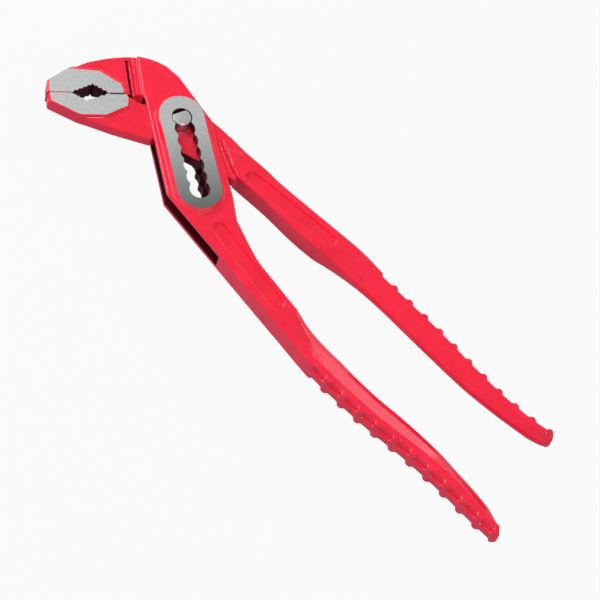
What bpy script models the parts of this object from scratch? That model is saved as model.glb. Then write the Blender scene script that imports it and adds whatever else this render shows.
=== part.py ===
"""Water pump pliers: two drop forged arms, one running through the other, on a pivot pin.

X runs from the jaws to the handles, Y towards the upper handle and Z is up. The origin lies on the
pivot pin's axis, on the surface that the pliers rest on. Lengths are in metres, angles in degrees.
"""
import math

import bmesh
import bpy
from mathutils import Matrix, Vector

MM = 0.001

# Heights, each measured from the tool's middle plane
BLADE_HALF = 2.6 * MM
SIDE_GAP = 0.3 * MM
CHEEK_HALF = 4.9 * MM
BOSS_HALF = 7.0 * MM
UPPER_JAW_HALF = 3.2 * MM
JAW_FACE_HALF = 3.9 * MM
PAD_HALF = 5.6 * MM
JAW_GROOVE_HALF = 2.2 * MM
EDGE_CHAMFER = 1.1 * MM
OVERRUN = 2.0 * MM
SEAM = 0.1 * MM
WELD = 0.001 * MM

# Pivot pin and the row of notches that it steps along
PIN_RADIUS = 3.8 * MM
PIN_GAP = 0.3 * MM
PIN_CHAMFER = 0.3 * MM
PIN_FLAT = 2.45 * MM
SLOT_ANGLE = -39.0
SLOT_NECK = 6.65 * MM
NOTCH_COUNT = 7
NOTCH_PITCH = 5.65 * MM
OPEN_ANGLE = 75.0
BOSS_RADIUS = 8.9 * MM
BOSS_SLOPE = 1.3 * MM
BOSS_LEAD = 1.0 * MM

# Box that carries the notches
CHEEK_LEFT = 12.0 * MM
CHEEK_RIGHT = 12.2 * MM
BOX_LENGTH = 33.2 * MM
WINDOW_RADIUS = 17.9 * MM
WINDOW_REACH = 32.8 * MM
WINDOW_ANGLES = (188.0, 126.0)

# Jaws
JAW_ANGLE = 43.8
JAW_OFFSET = 12.3 * MM
JAW_GAP = 0.4 * MM
JAW_REACH = 50.8 * MM
JAW_DEPTH = 11.3 * MM
HEAD_HEIGHT = 18.0 * MM
FACE_SLOPE = 1.0 * MM
TOOTH_HEIGHT = 0.55 * MM
FINE_TOOTH_HEIGHT = 0.3 * MM
MOUTH_RISE = 4.4 * MM
MOUTH_DROP = 3.8 * MM
GROOVE_WIDTH = 1.8 * MM
BACK_EDGE = 14.4 * MM
MOUTH_ROOT = 17.6 * MM

# Blade and pad of the inner arm
HUB_RADIUS = 11.4 * MM
HUB_ANGLES = (62.0, 168.0)
BLADE_REACH = 36.0 * MM
PAD_SLOPE = 0.9 * MM
SHOULDER_START = 14.0 * MM
SHOULDER_END = 27.5 * MM
SHOULDER_GAP = 1.4 * MM
SHOULDER_FLARE = 2.0 * MM

# Handles
LOWER_ANGLE = -13.1
LOWER_REACH = 184.0 * MM
LOWER_NECK = 70.0 * MM
LOWER_STRIP = 3.4 * MM
UPPER_REACH = 192.0 * MM
UPPER_NECK = 74.0 * MM
UPPER_STRIP = 3.2 * MM
NECK_OVERLAP = 8.0 * MM
GRIP_RAMP = 20.0 * MM
GRIP_ROUND = 1.0 * MM
GRIP_EDGE = 0.5 * MM
TIP_LENGTH = 4.0 * MM
HANDLE_STATIONS = 30
CURVE_STEPS = 6

# Gripping pockets, in two rows on each face of a handle
POCKET_COUNT = 11
POCKET_DEPTH = 1.25 * MM
POCKET_FLOOR = 1.2 * MM
POCKET_SLOPE = 0.25 * MM
LOWER_POCKET_START = 94.0 * MM
LOWER_POCKET_PITCH = 8.48 * MM
LOWER_POCKET_LENGTH = 6.1 * MM
UPPER_POCKET_START = 104.2 * MM
UPPER_POCKET_PITCH = 8.17 * MM
UPPER_POCKET_LENGTH = 5.7 * MM

# Bare recesses on the front of the handles
RECESS_WIDTH = 6.3 * MM
RECESS_DEPTH = 0.7 * MM
RECESS_SLOPE = 0.6 * MM
LOWER_RECESS_ENDS = (Vector((20.3, 7.3)) * MM, Vector((64.7, 5.0)) * MM)
UPPER_RECESS_ENDS = (Vector((34.0, -0.8)) * MM, Vector((80.0, -1.8)) * MM)

# Top of the upper jaw from the nose, then of the box, in shares of JAW_REACH and HEAD_HEIGHT
HEAD_SHARES = (
    (-1.0, 0.011), (-0.998, 0.322), (-0.846, 0.660), (-0.783, 0.717), (-0.689, 0.844),
    (-0.537, 0.939), (-0.384, 0.994), (-0.25, 0.84),
)
BOX_TOP_SHARES = ((-0.297, 1.008), (-0.201, 0.939), (-0.136, 0.861), (-0.069, 0.744), (0.02, 0.472))
# Ground faces beside the mouth, in shares of JAW_REACH and JAW_DEPTH
UPPER_FACE_SHARES = (
    (-1.0, -0.05), (-0.44, -0.05), (-0.43, 0.12), (-0.445, 0.41), (-0.48, 0.505), (-0.608, 0.93),
    (-0.85, 1.0), (-0.998, 0.513),
)
LOWER_FACE_SHARES = (
    (-1.0, 0.05), (-0.998, -0.04), (-0.988, -0.39), (-0.803, -0.903), (-0.577, -0.885),
    (-0.406, -0.478), (-0.396, -0.15), (-0.42, 0.05),
)
# Underside of the lower jaw, from the nose to the blade, in shares of JAW_REACH and HEAD_HEIGHT
CHIN_SHARES = (
    (-1.0, -0.011), (-1.0, -0.225), (-0.797, -0.567), (-0.52, -0.872), (-0.25, -1.094), (-0.205, -1.08),
)
HEEL_SHARES = ((-0.268, -0.200), (-0.317, -0.156), (-0.358, -0.044), (-0.40, -0.011))
# Ends of the mouth's grooves along the jaw line, in shares of JAW_REACH
MOUTH_START_SHARE = -0.846
MOUTH_END_SHARE = -0.531
UPPER_PEAK_SHARE = -0.665
LOWER_PEAK_SHARE = -0.724
FINE_END_SHARE = -0.43
GROOVE_TOP_SHARE = -0.374
GROOVE_FOOT_SHARE = -0.336

# Right side of the box, in shares of BOX_LENGTH and CHEEK_RIGHT
BOX_RIGHT_SHARES = ((0.036, 1.008), (0.41, 0.992), (0.765, 1.049))
# End wall of the blade's passage in shares of WINDOW_REACH, and how far it runs out past the box's sides
WINDOW_END_SHARES = ((1.296, 0.546), (1.03, 0.061), (0.97, -0.061))
WINDOW_LEAD_SHARE = 1.1
WINDOW_RIGHT_SHARE = 1.6
WINDOW_LEFT_SHARE = 1.5
WINDOW_TURN_SHARE = 1.2
# Edges of the lower handle, both in shares of LOWER_REACH
LOWER_OUTER_SHARES = (
    (0.0, 0.0), (0.18, -0.0015), (0.36, -0.003), (0.49, -0.0035), (0.56, 0.004), (0.65, 0.0175),
    (0.745, 0.0375), (0.836, 0.0515), (0.93, 0.0615), (0.973, 0.066), (1.0, 0.079),
)
LOWER_INNER_SHARES = (
    (0.0788, 0.1152), (0.1325, 0.0873), (0.198, 0.0665), (0.235, 0.0595), (0.315, 0.0575),
    (0.37, 0.0590), (0.48, 0.0600), (0.561, 0.0663), (0.622, 0.0750), (0.673, 0.0864),
    (0.733, 0.0967), (0.792, 0.1033), (0.874, 0.1010), (0.925, 0.1020), (0.98, 0.0985),
    (1.0, 0.0925),
)
# Edges of the upper handle, both in shares of UPPER_REACH
UPPER_OUTER_SHARES = (
    (0.108, 0.020), (0.149, 0.0355), (0.20, 0.0330), (0.25, 0.0272), (0.383, 0.0215), (0.459, 0.0175),
    (0.525, 0.0075), (0.606, -0.0025), (0.693, -0.0135), (0.779, -0.0282), (0.865, -0.0401),
    (0.925, -0.0428), (0.970, -0.0415), (0.99, -0.035), (1.0, -0.046),
)
UPPER_INNER_SHARES = (
    (0.165, -0.0245), (0.253, -0.0302), (0.34, -0.0406), (0.427, -0.0406), (0.517, -0.0448),
    (0.65, -0.0604), (0.786, -0.0776), (0.87, -0.0800), (0.943, -0.0786), (0.985, -0.0719),
    (1.0, -0.058),
)
# Blade edges beyond the box, in shares of BLADE_REACH
BLADE_TOP_SHARES = ((0.222, 0.277), (0.330, 0.2555), (0.76, 0.195), (1.0, 0.05))
BLADE_FOOT_SHARES = ((1.0, -0.06), (0.906, -0.164), (0.542, -0.233), (0.256, -0.300), (-0.072, -0.342))
PAD_SHARES = ((0.558, 0.038), (0.592, 0.080), (0.735, 0.139), (0.790, 0.133), (0.800, -0.111))


def place(origin, degrees, along, across):
    """Gives the point that lies along and across from an origin in a turned frame."""
    return Vector(origin) + Matrix.Rotation(math.radians(degrees), 2) @ Vector((along, across))


def slot_point(along, across):
    return place((0, 0), SLOT_ANGLE, along, across)


def jaw_point(along, above):
    return place((0, 0), JAW_ANGLE, along, JAW_OFFSET + above)


def lower_point(along, across):
    return place(slot_point(BOX_LENGTH, -CHEEK_LEFT), LOWER_ANGLE, along, across)


def upper_point(along, across):
    return Vector((along, across))


def scaled(frame, shares, along, across):
    return [frame(share[0] * along, share[1] * across) for share in shares]


def arc(centre, radius, start, end, steps):
    """Gives points on an arc, both ends included."""
    turns = [math.radians(start + (end - start) * step / steps) for step in range(steps + 1)]
    return [centre + radius * Vector((math.cos(turn), math.sin(turn))) for turn in turns]


def stadium(start, end, radius, steps):
    """Gives a closed outline round a line from start to end."""
    heading = math.degrees(math.atan2(end.y - start.y, end.x - start.x))
    return (arc(end, radius, heading - 90, heading + 90, steps)
            + arc(start, radius, heading + 90, heading + 270, steps))


def smooth(points, steps):
    """Gives a smooth curve through the points."""
    padded = [2 * points[0] - points[1], *points, 2 * points[-1] - points[-2]]
    curve = []
    for before, start, end, after in zip(padded, padded[1:], padded[2:], padded[3:]):
        for step in range(steps):
            t = step / steps
            curve.append(0.5 * (2 * start + (end - before) * t
                                + (2 * before - 5 * start + 4 * end - after) * t ** 2
                                + (3 * start - before - 3 * end + after) * t ** 3))
    return curve + [points[-1]]


def across_at(curve, along):
    """Reads a curve's second coordinate where its first one reaches a value."""
    for start, end in zip(curve, curve[1:]):
        if end.x >= along:
            return start.y + (end.y - start.y) * (along - start.x) / (end.x - start.x)
    return curve[-1].y


def grown(outline, distance):
    """Moves each side of a closed outline outward by a distance."""
    turning = sum(a.x * b.y - b.x * a.y for a, b in zip(outline, outline[1:] + outline[:1]))
    side = math.copysign(distance, turning)
    points = []
    for before, point, after in zip(outline[-1:] + outline, outline, outline[1:] + outline[:1]):
        first = (point - before).normalized()
        second = (after - point).normalized()
        normal = Vector((first.y + second.y, -first.x - second.x)).normalized()
        points.append(point + normal * side / max(normal.dot(Vector((first.y, -first.x))), 0.5))
    return points


def recalculate(bm):
    bmesh.ops.recalc_face_normals(bm, faces=bm.faces)


def flat_solid(name, outline, half, middle=0.0):
    """Makes a flat solid from a filled outline and leaves it among the cutters."""
    curve = bpy.data.curves.new(name, "CURVE")
    curve.dimensions = "2D"
    curve.fill_mode = "BOTH"
    curve.extrude = half
    spline = curve.splines.new("POLY")
    spline.points.add(len(outline) - 1)
    for point, spot in zip(spline.points, outline):
        point.co = (spot.x, spot.y, 0, 1)
    spline.use_cyclic_u = True
    flat = bpy.data.objects.new(name + "_outline", curve)
    flat.location.z = middle
    tools.objects.link(flat)
    depsgraph = bpy.context.evaluated_depsgraph_get()
    mesh = bpy.data.meshes.new_from_object(flat.evaluated_get(depsgraph))
    matrix = flat.matrix_world.copy()
    bpy.data.objects.remove(flat)
    bpy.data.curves.remove(curve)
    mesh.name = name
    bm = bmesh.new()
    bm.from_mesh(mesh)
    bmesh.ops.remove_doubles(bm, verts=bm.verts, dist=WELD)
    recalculate(bm)
    bm.to_mesh(mesh)
    bm.free()
    solid = bpy.data.objects.new(name, mesh)
    solid.matrix_world = matrix
    tools.objects.link(solid)
    return solid


def raised_solid(name, outline, base_half, top_half, run):
    """Makes a flat solid whose two faces rise from the base to the top over a sloped rim."""
    solid = flat_solid(name, outline, base_half)
    bm = bmesh.new()
    bm.from_mesh(solid.data)
    caps = [face for face in bm.faces if abs(face.normal.z) > 0.9]
    bmesh.ops.inset_region(bm, faces=caps, thickness=run, depth=top_half - base_half,
                           use_boundary=True, use_even_offset=True)
    recalculate(bm)
    bm.to_mesh(solid.data)
    bm.free()
    return solid


def mesh_object(name, bm):
    recalculate(bm)
    mesh = bpy.data.meshes.new(name)
    bm.to_mesh(mesh)
    bm.free()
    made = bpy.data.objects.new(name, mesh)
    tools.objects.link(made)
    return made


def loft(name, rings):
    """Skins closed rings of equally many points and closes both ends."""
    bm = bmesh.new()
    rows = [[bm.verts.new(point) for point in ring] for ring in rings]
    for row, following in zip(rows, rows[1:]):
        for index in range(len(row)):
            after = (index + 1) % len(row)
            bm.faces.new((row[index], row[after], following[after], following[index]))
    bm.faces.new(rows[0])
    bm.faces.new(rows[-1])
    return mesh_object(name, bm)


def combine(target, other, operation):
    """Adds an exact Boolean to the target and hides what it works with."""
    boolean = target.modifiers.new(other.name, "BOOLEAN")
    boolean.operation = operation
    boolean.solver = "EXACT"
    boolean.object = other
    other.hide_render = True
    other.display_type = "WIRE"


def finish(solid, colour, roughness, metallic):
    """Moves a finished solid to the parts, lifts it to the floor and gives it its material."""
    material = bpy.data.materials.new(solid.name)
    material.use_nodes = True
    shader = material.node_tree.nodes["Principled BSDF"]
    shader.inputs["Base Color"].default_value = (*colour, 1)
    shader.inputs["Roughness"].default_value = roughness
    shader.inputs["Metallic"].default_value = metallic
    solid.data.materials.append(material)
    tools.objects.unlink(solid)
    parts.objects.link(solid)
    solid.location.z = BOSS_HALF


def lift_cutters():
    """Raises the construction solids with the pieces that they shape."""
    for solid in tools.objects:
        solid.location.z += BOSS_HALF


def toothed(start, end, count, height):
    """Gives a zigzag of teeth from start to end, which stand to the left of the line."""
    step = (end - start) / count
    side = Vector((-step.y, step.x)).normalized() * height
    points = []
    for tooth in range(count):
        points.append(start + step * tooth)
        points.append(start + step * (tooth + 0.5) + side)
    return points + [end]


def mouth_cutter(name, side, peak_share, rise):
    """Makes the toothed tool that clears one jaw's side of the mouth."""
    line = side * JAW_GAP / 2
    peak = Vector((peak_share * JAW_REACH, line + side * rise))
    start = Vector((MOUTH_START_SHARE * JAW_REACH, line))
    end = Vector((MOUTH_END_SHARE * JAW_REACH, line))
    last = Vector((FINE_END_SHARE * JAW_REACH, line))
    profile = toothed(start, peak, 5, -side * TOOTH_HEIGHT)
    profile += toothed(peak, end, 4, -side * TOOTH_HEIGHT)[1:]
    profile += toothed(end, last, 6, side * FINE_TOOTH_HEIGHT)[1:]
    outside = side * -HEAD_HEIGHT
    front = Vector((-JAW_REACH - OVERRUN, line))
    back = Vector((-MOUTH_ROOT, line))
    profile = [front, *profile, back, Vector((back.x, outside)), Vector((front.x, outside))]
    return flat_solid(name, [jaw_point(*point) for point in profile], BOSS_HALF)


def handle_section(outer, inner, strip, grip, thin):
    """Gives one ring of a handle, which goes from a plain bar to the grip's sloped section."""
    across = inner - outer
    width = across.length
    unit = across / width
    top = (CHEEK_HALF - SEAM) * thin
    edge = min(EDGE_CHAMFER * (1 - grip) + GRIP_EDGE * grip, width / 4)
    ledge = (width - edge) * (1 - grip) + min(strip, width - 2 * edge) * grip
    foot = width - GRIP_ROUND * grip * min(1, width / (4 * GRIP_ROUND))
    foot_height = (top - edge) * (1 - grip) + GRIP_ROUND * grip
    half = [(0, 0), (0, top - edge), (edge, top), (ledge, top), (foot, foot_height), (width, 0)]
    ring = half + [(run, -height) for run, height in half[-2:0:-1]]
    points = [outer + unit * run for run, height in ring]
    return [Vector((point.x, point.y, height)) for point, (run, height) in zip(points, ring)]


def edge_curve(shares, reach):
    return smooth([Vector(share) * reach for share in shares], CURVE_STEPS)


def neck_edges(frame, reach, start, end, inner_shares, outer_shares):
    """Gives the stretches of a handle's inner and outer edge that lie between two stations."""
    edges = []
    for shares in (inner_shares, outer_shares):
        curve = edge_curve(shares, reach)
        first = max(start, curve[0].x)
        spots = [Vector((first, across_at(curve, first)))]
        spots += [spot for spot in curve[::2] if first < spot.x < end - EDGE_CHAMFER]
        spots.append(Vector((end, across_at(curve, end))))
        edges.append([frame(*spot) for spot in spots])
    return edges


def handle(name, frame, reach, neck, strip, outer_shares, inner_shares):
    """Lofts one handle from inside its neck to the tip."""
    outer = edge_curve(outer_shares, reach)
    inner = edge_curve(inner_shares, reach)
    first = neck - NECK_OVERLAP
    rings = []
    for station in range(HANDLE_STATIONS + 1):
        part = station / HANDLE_STATIONS
        along = first + (reach - first) * math.sin(math.pi / 2 * part ** 0.8)
        ramp = min(max((along - neck) / GRIP_RAMP, 0), 1)
        grip = ramp * ramp * (3 - 2 * ramp)
        thin = 1 - 0.35 * max(0, (along - reach + TIP_LENGTH) / TIP_LENGTH) ** 2
        top = frame(along, across_at(outer, along))
        foot = frame(along, across_at(inner, along))
        inset = (foot - top).normalized() * SEAM
        rings.append(handle_section(top + inset, foot - inset, strip, grip, thin))
    return loft(name, rings), outer


def pockets(name, frame, edge, start, pitch, length, turn):
    """Makes both rows of pockets that are forged into a handle's outer edge."""
    bm = bmesh.new()
    for number in range(POCKET_COUNT):
        along = start + number * pitch
        before = frame(along - length, across_at(edge, along - length))
        after = frame(along + length, across_at(edge, along + length))
        heading = (after - before).normalized()
        inward = Vector((-heading.y, heading.x)) * turn
        middle = frame(along, across_at(edge, along)) + inward * SEAM
        for face in (1, -1):
            cube = bmesh.ops.create_cube(bm, size=1)["verts"]
            for vert in cube:
                deep = vert.co.y > 0
                low = vert.co.z < 0
                run = math.copysign(length / 2, vert.co.x)
                run -= math.copysign(POCKET_SLOPE, vert.co.x) * (deep + low)
                depth = POCKET_DEPTH if deep else -OVERRUN
                height = POCKET_FLOOR if low else CHEEK_HALF + OVERRUN
                spot = middle + heading * run + inward * depth
                vert.co = (spot.x, spot.y, height * face)
    return mesh_object(name, bm)


def recess(name, frame, ends):
    """Makes the shallow stadium with sloped walls that is sunk into the front of a handle."""
    start, end = (frame(*spot) for spot in ends)
    reach = (end - start).normalized() * (RECESS_WIDTH / 2)
    outline = stadium(start + reach, end - reach, RECESS_WIDTH / 2, 8)
    solid = raised_solid(name, outline, OVERRUN, OVERRUN + RECESS_DEPTH, RECESS_SLOPE)
    solid.location.z = CHEEK_HALF + OVERRUN
    return solid


def boss_solid():
    """Makes the ring that stands round the notches on both faces of the box."""
    sink = SIDE_GAP
    run = BOSS_SLOPE * (BOSS_HALF - CHEEK_HALF + sink) / (BOSS_HALF - CHEEK_HALF)
    start = slot_point(-BOSS_LEAD, 0)
    end = slot_point(NOTCH_PITCH * (NOTCH_COUNT - 1), 0)
    outline = stadium(start, end, BOSS_RADIUS + run, 14)
    return raised_solid("boss", outline, CHEEK_HALF - sink, BOSS_HALF, run)


def slot_cutter():
    """Makes the scalloped slot: a circle at each notch, joined by a straight neck."""
    radius = PIN_RADIUS + PIN_GAP
    opening = math.degrees(math.asin(SLOT_NECK / 2 / radius))
    outline = []
    for side in (1, -1):
        for number in range(NOTCH_COUNT):
            step = number if side < 0 else NOTCH_COUNT - 1 - number
            centre = slot_point(NOTCH_PITCH * step, 0)
            middle = SLOT_ANGLE + 90 * side
            before = 90 if number == 0 else 90 - opening
            after = 90 if number == NOTCH_COUNT - 1 else 90 - opening
            outline += arc(centre, radius, middle - before, middle + after, 8)[1 if number == 0 else 0:]
    return flat_solid("slot", outline, BOSS_HALF + OVERRUN)


def window_cutter():
    """Makes the passage that the inner arm's blade swings and slides in."""
    upper = arc(Vector((0, 0)), WINDOW_RADIUS, *WINDOW_ANGLES, 14)
    wall = scaled(lower_point, WINDOW_END_SHARES, WINDOW_REACH, WINDOW_REACH)
    right = [slot_point(-WINDOW_RADIUS * WINDOW_LEAD_SHARE, WINDOW_RADIUS),
             slot_point(BOX_LENGTH, WINDOW_RADIUS * WINDOW_RIGHT_SHARE)]
    left = [slot_point(BOX_LENGTH, -CHEEK_LEFT * WINDOW_LEFT_SHARE),
            slot_point(0, -CHEEK_LEFT * WINDOW_LEFT_SHARE),
            slot_point(-CHEEK_LEFT, -CHEEK_LEFT * WINDOW_TURN_SHARE)]
    return flat_solid("window", upper + right + wall + left, BLADE_HALF + SIDE_GAP)


def groove_cutter(name, face):
    """Makes the narrow groove across the root of the upper jaw."""
    top = jaw_point(GROOVE_TOP_SHARE * JAW_REACH, HEAD_HEIGHT + OVERRUN)
    foot = jaw_point(GROOVE_FOOT_SHARE * JAW_REACH, -OVERRUN)
    aside = Vector((math.cos(math.radians(JAW_ANGLE)), math.sin(math.radians(JAW_ANGLE)))) * GROOVE_WIDTH / 2
    half = (BOSS_HALF - JAW_GROOVE_HALF) / 2
    outline = [top - aside, foot - aside, foot + aside, top + aside]
    return flat_solid(name, outline, half, face * (JAW_GROOVE_HALF + half))


def make_outer_arm():
    """Builds the arm with the upper jaw, the notched box and the lower handle."""
    jaw = scaled(jaw_point, HEAD_SHARES, JAW_REACH, HEAD_HEIGHT)
    jaw += [slot_point(0, -CHEEK_LEFT / 2), jaw_point(-MOUTH_ROOT, JAW_GAP / 2)]
    arm = flat_solid("outer_arm", jaw, UPPER_JAW_HALF)

    top = scaled(jaw_point, BOX_TOP_SHARES, JAW_REACH, HEAD_HEIGHT)
    right = scaled(slot_point, BOX_RIGHT_SHARES, BOX_LENGTH, CHEEK_RIGHT)
    left = [slot_point(-CHEEK_LEFT, -CHEEK_LEFT), jaw_point(-BACK_EDGE, -JAW_GAP)]
    inner, outer = neck_edges(lower_point, LOWER_REACH, 0, LOWER_NECK,
                              LOWER_INNER_SHARES, LOWER_OUTER_SHARES)
    outline = top + right + inner + outer[::-1] + left
    box = raised_solid("box", outline, CHEEK_HALF - EDGE_CHAMFER, CHEEK_HALF, EDGE_CHAMFER)
    face = grown(scaled(jaw_point, UPPER_FACE_SHARES, JAW_REACH, JAW_DEPTH), FACE_SLOPE)
    ground = raised_solid("upper_face", face, UPPER_JAW_HALF - SIDE_GAP, JAW_FACE_HALF, FACE_SLOPE)
    grip, edge = handle("lower_handle", lower_point, LOWER_REACH, LOWER_NECK, LOWER_STRIP,
                        LOWER_OUTER_SHARES, LOWER_INNER_SHARES)
    for solid in (box, ground, boss_solid(), grip):
        combine(arm, solid, "UNION")
    label = recess("lower_recess", lower_point, LOWER_RECESS_ENDS)
    cutters = [window_cutter(), slot_cutter(), mouth_cutter("upper_mouth", 1, UPPER_PEAK_SHARE, MOUTH_RISE),
               groove_cutter("front_groove", 1), groove_cutter("back_groove", -1),
               pockets("lower_pockets", lower_point, edge, LOWER_POCKET_START, LOWER_POCKET_PITCH,
                       LOWER_POCKET_LENGTH, 1), label]
    for cutter in cutters:
        combine(arm, cutter, "DIFFERENCE")
    finish(arm, (0.82, 0.02, 0.05), 0.2, 0.0)


def make_inner_arm():
    """Builds the arm with the lower jaw, the blade inside the box and the upper handle."""
    chin = scaled(jaw_point, CHIN_SHARES, JAW_REACH, HEAD_HEIGHT)
    heel = scaled(jaw_point, HEEL_SHARES, JAW_REACH, HEAD_HEIGHT)
    foot = scaled(upper_point, BLADE_FOOT_SHARES, BLADE_REACH, BLADE_REACH)
    top = scaled(upper_point, BLADE_TOP_SHARES, BLADE_REACH, BLADE_REACH)
    hub = arc(Vector((0, 0)), HUB_RADIUS, *HUB_ANGLES, 12)
    blade = chin + foot[::-1] + top[::-1] + hub + heel
    arm = flat_solid("inner_arm", blade, BLADE_HALF)

    face = grown(scaled(jaw_point, LOWER_FACE_SHARES, JAW_REACH, JAW_DEPTH), FACE_SLOPE)
    ground = raised_solid("lower_face", face, BLADE_HALF - SIDE_GAP, JAW_FACE_HALF, FACE_SLOPE)
    inner, outer = neck_edges(upper_point, UPPER_REACH, 0, UPPER_NECK,
                              UPPER_INNER_SHARES, UPPER_OUTER_SHARES)
    shoulder = [slot_point(SHOULDER_START, CHEEK_RIGHT + SHOULDER_GAP),
                slot_point(SHOULDER_END, CHEEK_RIGHT + SHOULDER_GAP + SHOULDER_FLARE)]
    bar = raised_solid("upper_bar", shoulder + inner + outer[::-1], CHEEK_HALF - EDGE_CHAMFER, CHEEK_HALF,
                       EDGE_CHAMFER)
    rest = scaled(upper_point, PAD_SHARES, BLADE_REACH, BLADE_REACH)
    pad = raised_solid("pad", rest, CHEEK_HALF - SIDE_GAP, PAD_HALF, PAD_SLOPE)
    grip, edge = handle("upper_handle", upper_point, UPPER_REACH, UPPER_NECK, UPPER_STRIP,
                        UPPER_OUTER_SHARES, UPPER_INNER_SHARES)
    for solid in (ground, bar, pad, grip):
        combine(arm, solid, "UNION")
    bore = flat_solid("bore", arc(Vector((0, 0)), PIN_RADIUS + PIN_GAP, 0, 350, 35), BOSS_HALF)
    label = recess("upper_recess", upper_point, UPPER_RECESS_ENDS)
    cutters = [bore, mouth_cutter("lower_mouth", -1, LOWER_PEAK_SHARE, MOUTH_DROP),
               pockets("upper_pockets", upper_point, edge, UPPER_POCKET_START, UPPER_POCKET_PITCH,
                       UPPER_POCKET_LENGTH, -1), label]
    for cutter in cutters:
        combine(arm, cutter, "DIFFERENCE")
    finish(arm, (0.80, 0.018, 0.045), 0.2, 0.0)


def make_pivot_pin():
    """Builds the pin, with the flat that lets it pass from notch to notch."""
    heading = SLOT_ANGLE + 180 - OPEN_ANGLE
    flat = math.degrees(math.acos(PIN_FLAT / PIN_RADIUS))
    outline = arc(Vector((0, 0)), PIN_RADIUS, heading + 90 + flat, heading + 450 - flat, 32)
    half = BOSS_HALF - PIN_CHAMFER
    pin = raised_solid("pivot_pin", outline, half, BOSS_HALF, PIN_CHAMFER)
    finish(pin, (0.62, 0.63, 0.61), 0.32, 1.0)


for leftover in list(bpy.data.objects):
    bpy.data.objects.remove(leftover)
parts = bpy.data.collections.new("water_pump_pliers")
tools = bpy.data.collections.new("cutters")
bpy.context.scene.collection.children.link(parts)
bpy.context.scene.collection.children.link(tools)
make_outer_arm()
make_inner_arm()
make_pivot_pin()
lift_cutters()
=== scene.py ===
"""Water pump pliers in red lacquer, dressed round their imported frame.

Each arm is fused from smooth forged bodies, softened as lacquer softens an edge, and then cut crisply
where the real tool is ground. Sizes are in millimetres until a finished mesh is brought to metres.
X runs from the jaws to the handles, Y towards the upper handle and Z up from the middle of the tool.
"""
import logging
import math
from dataclasses import dataclass, field
from enum import Enum

import bmesh
import bpy
import numpy as np
from mathutils import Matrix, Vector


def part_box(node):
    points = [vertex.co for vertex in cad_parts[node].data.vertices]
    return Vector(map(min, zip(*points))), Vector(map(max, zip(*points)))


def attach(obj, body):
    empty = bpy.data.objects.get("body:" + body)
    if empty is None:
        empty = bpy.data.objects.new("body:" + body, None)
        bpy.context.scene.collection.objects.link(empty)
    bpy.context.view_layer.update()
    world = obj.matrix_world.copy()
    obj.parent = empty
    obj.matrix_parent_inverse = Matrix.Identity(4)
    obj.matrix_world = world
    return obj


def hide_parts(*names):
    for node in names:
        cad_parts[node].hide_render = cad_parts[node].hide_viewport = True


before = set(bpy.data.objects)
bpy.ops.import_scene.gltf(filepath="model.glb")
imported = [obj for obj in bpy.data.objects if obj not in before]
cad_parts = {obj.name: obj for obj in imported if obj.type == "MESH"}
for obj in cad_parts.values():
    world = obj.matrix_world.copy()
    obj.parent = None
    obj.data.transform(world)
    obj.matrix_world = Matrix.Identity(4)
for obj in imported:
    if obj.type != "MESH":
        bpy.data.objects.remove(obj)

LOG = logging.getLogger("pliers")
MM = 0.001
# How far from the middle a cutting tool ends, past every face of the pliers
THROUGH = 9.0
GRIND_REACH = 12.0
# How deep an added solid starts inside the one that carries it
SINK = 0.3
# How far a face stands up before it is ground off
PROUD = 0.3
# What keeps two tool faces from lying in one plane
HAIR = 0.01
SHARP_EDGE = math.radians(38)
Socket = bpy.types.NodeSocket
Solid = bpy.types.Object


class Cut(Enum):
    """What a Boolean does with its tool."""

    JOIN = "UNION"
    REMOVE = "DIFFERENCE"


class Side(Enum):
    """The jaw line's two sides, as the sign of the distance from it."""

    UPPER = 1
    LOWER = -1


class Face(Enum):
    """The tool's two faces, as the sign of their height."""

    FRONT = 1
    BACK = -1


class Finish(Enum):
    """What a face of an arm shows, as the place of its material on the arm."""

    LACQUER = 0
    GROUND = 1
    # Painted shade: a dark copy of the lacquer on faces where shade falls
    SHADED = 2


@dataclass(frozen=True)
class Axes:
    """A turned frame in the tool's middle plane."""

    origin: tuple[float, float]
    degrees: float
    rise: float = 0.0

    def at(self, along: float, across: float) -> Vector:
        """Gives the plane point of a place in this frame.

        Args:
            along: Distance along the frame's heading.
            across: Distance to its left.

        Returns:
            The point in the tool's own plane.
        """
        turn = Matrix.Rotation(math.radians(self.degrees), 2)
        return Vector(self.origin) + turn @ Vector((along, across + self.rise))

    def line(self, points: list[tuple[float, float]]) -> list[Vector]:
        """Gives the plane points of several places in this frame."""
        return [self.at(*point) for point in points]

    def heading(self) -> Vector:
        """Gives the frame's heading as a plane direction."""
        return self.at(1, 0) - self.at(0, 0)


SLOT = Axes((0, 0), -39.0)
JAW = Axes((0, 0), 43.8, rise=12.3)
UPPER = Axes((0, 0), 0.0)
LOWER = Axes(tuple(SLOT.at(33.2, -12.0)), -13.1)


def add_node(tree: bpy.types.NodeTree, kind: str, sockets: dict | None = None,
             **settings: object) -> bpy.types.Node:
    """Adds one node and fills its inputs.

    Args:
        tree: The tree that gets the node.
        kind: Blender's name of the node type.
        sockets: A value or an output socket for each named or numbered input.
        settings: Properties of the node itself.

    Returns:
        The new node.
    """
    made = tree.nodes.new(kind)
    for name, value in settings.items():
        setattr(made, name, value)
    for name, value in (sockets or {}).items():
        if isinstance(value, bpy.types.NodeSocket):
            tree.links.new(value, made.inputs[name])
        else:
            made.inputs[name].default_value = value
    return made


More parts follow.
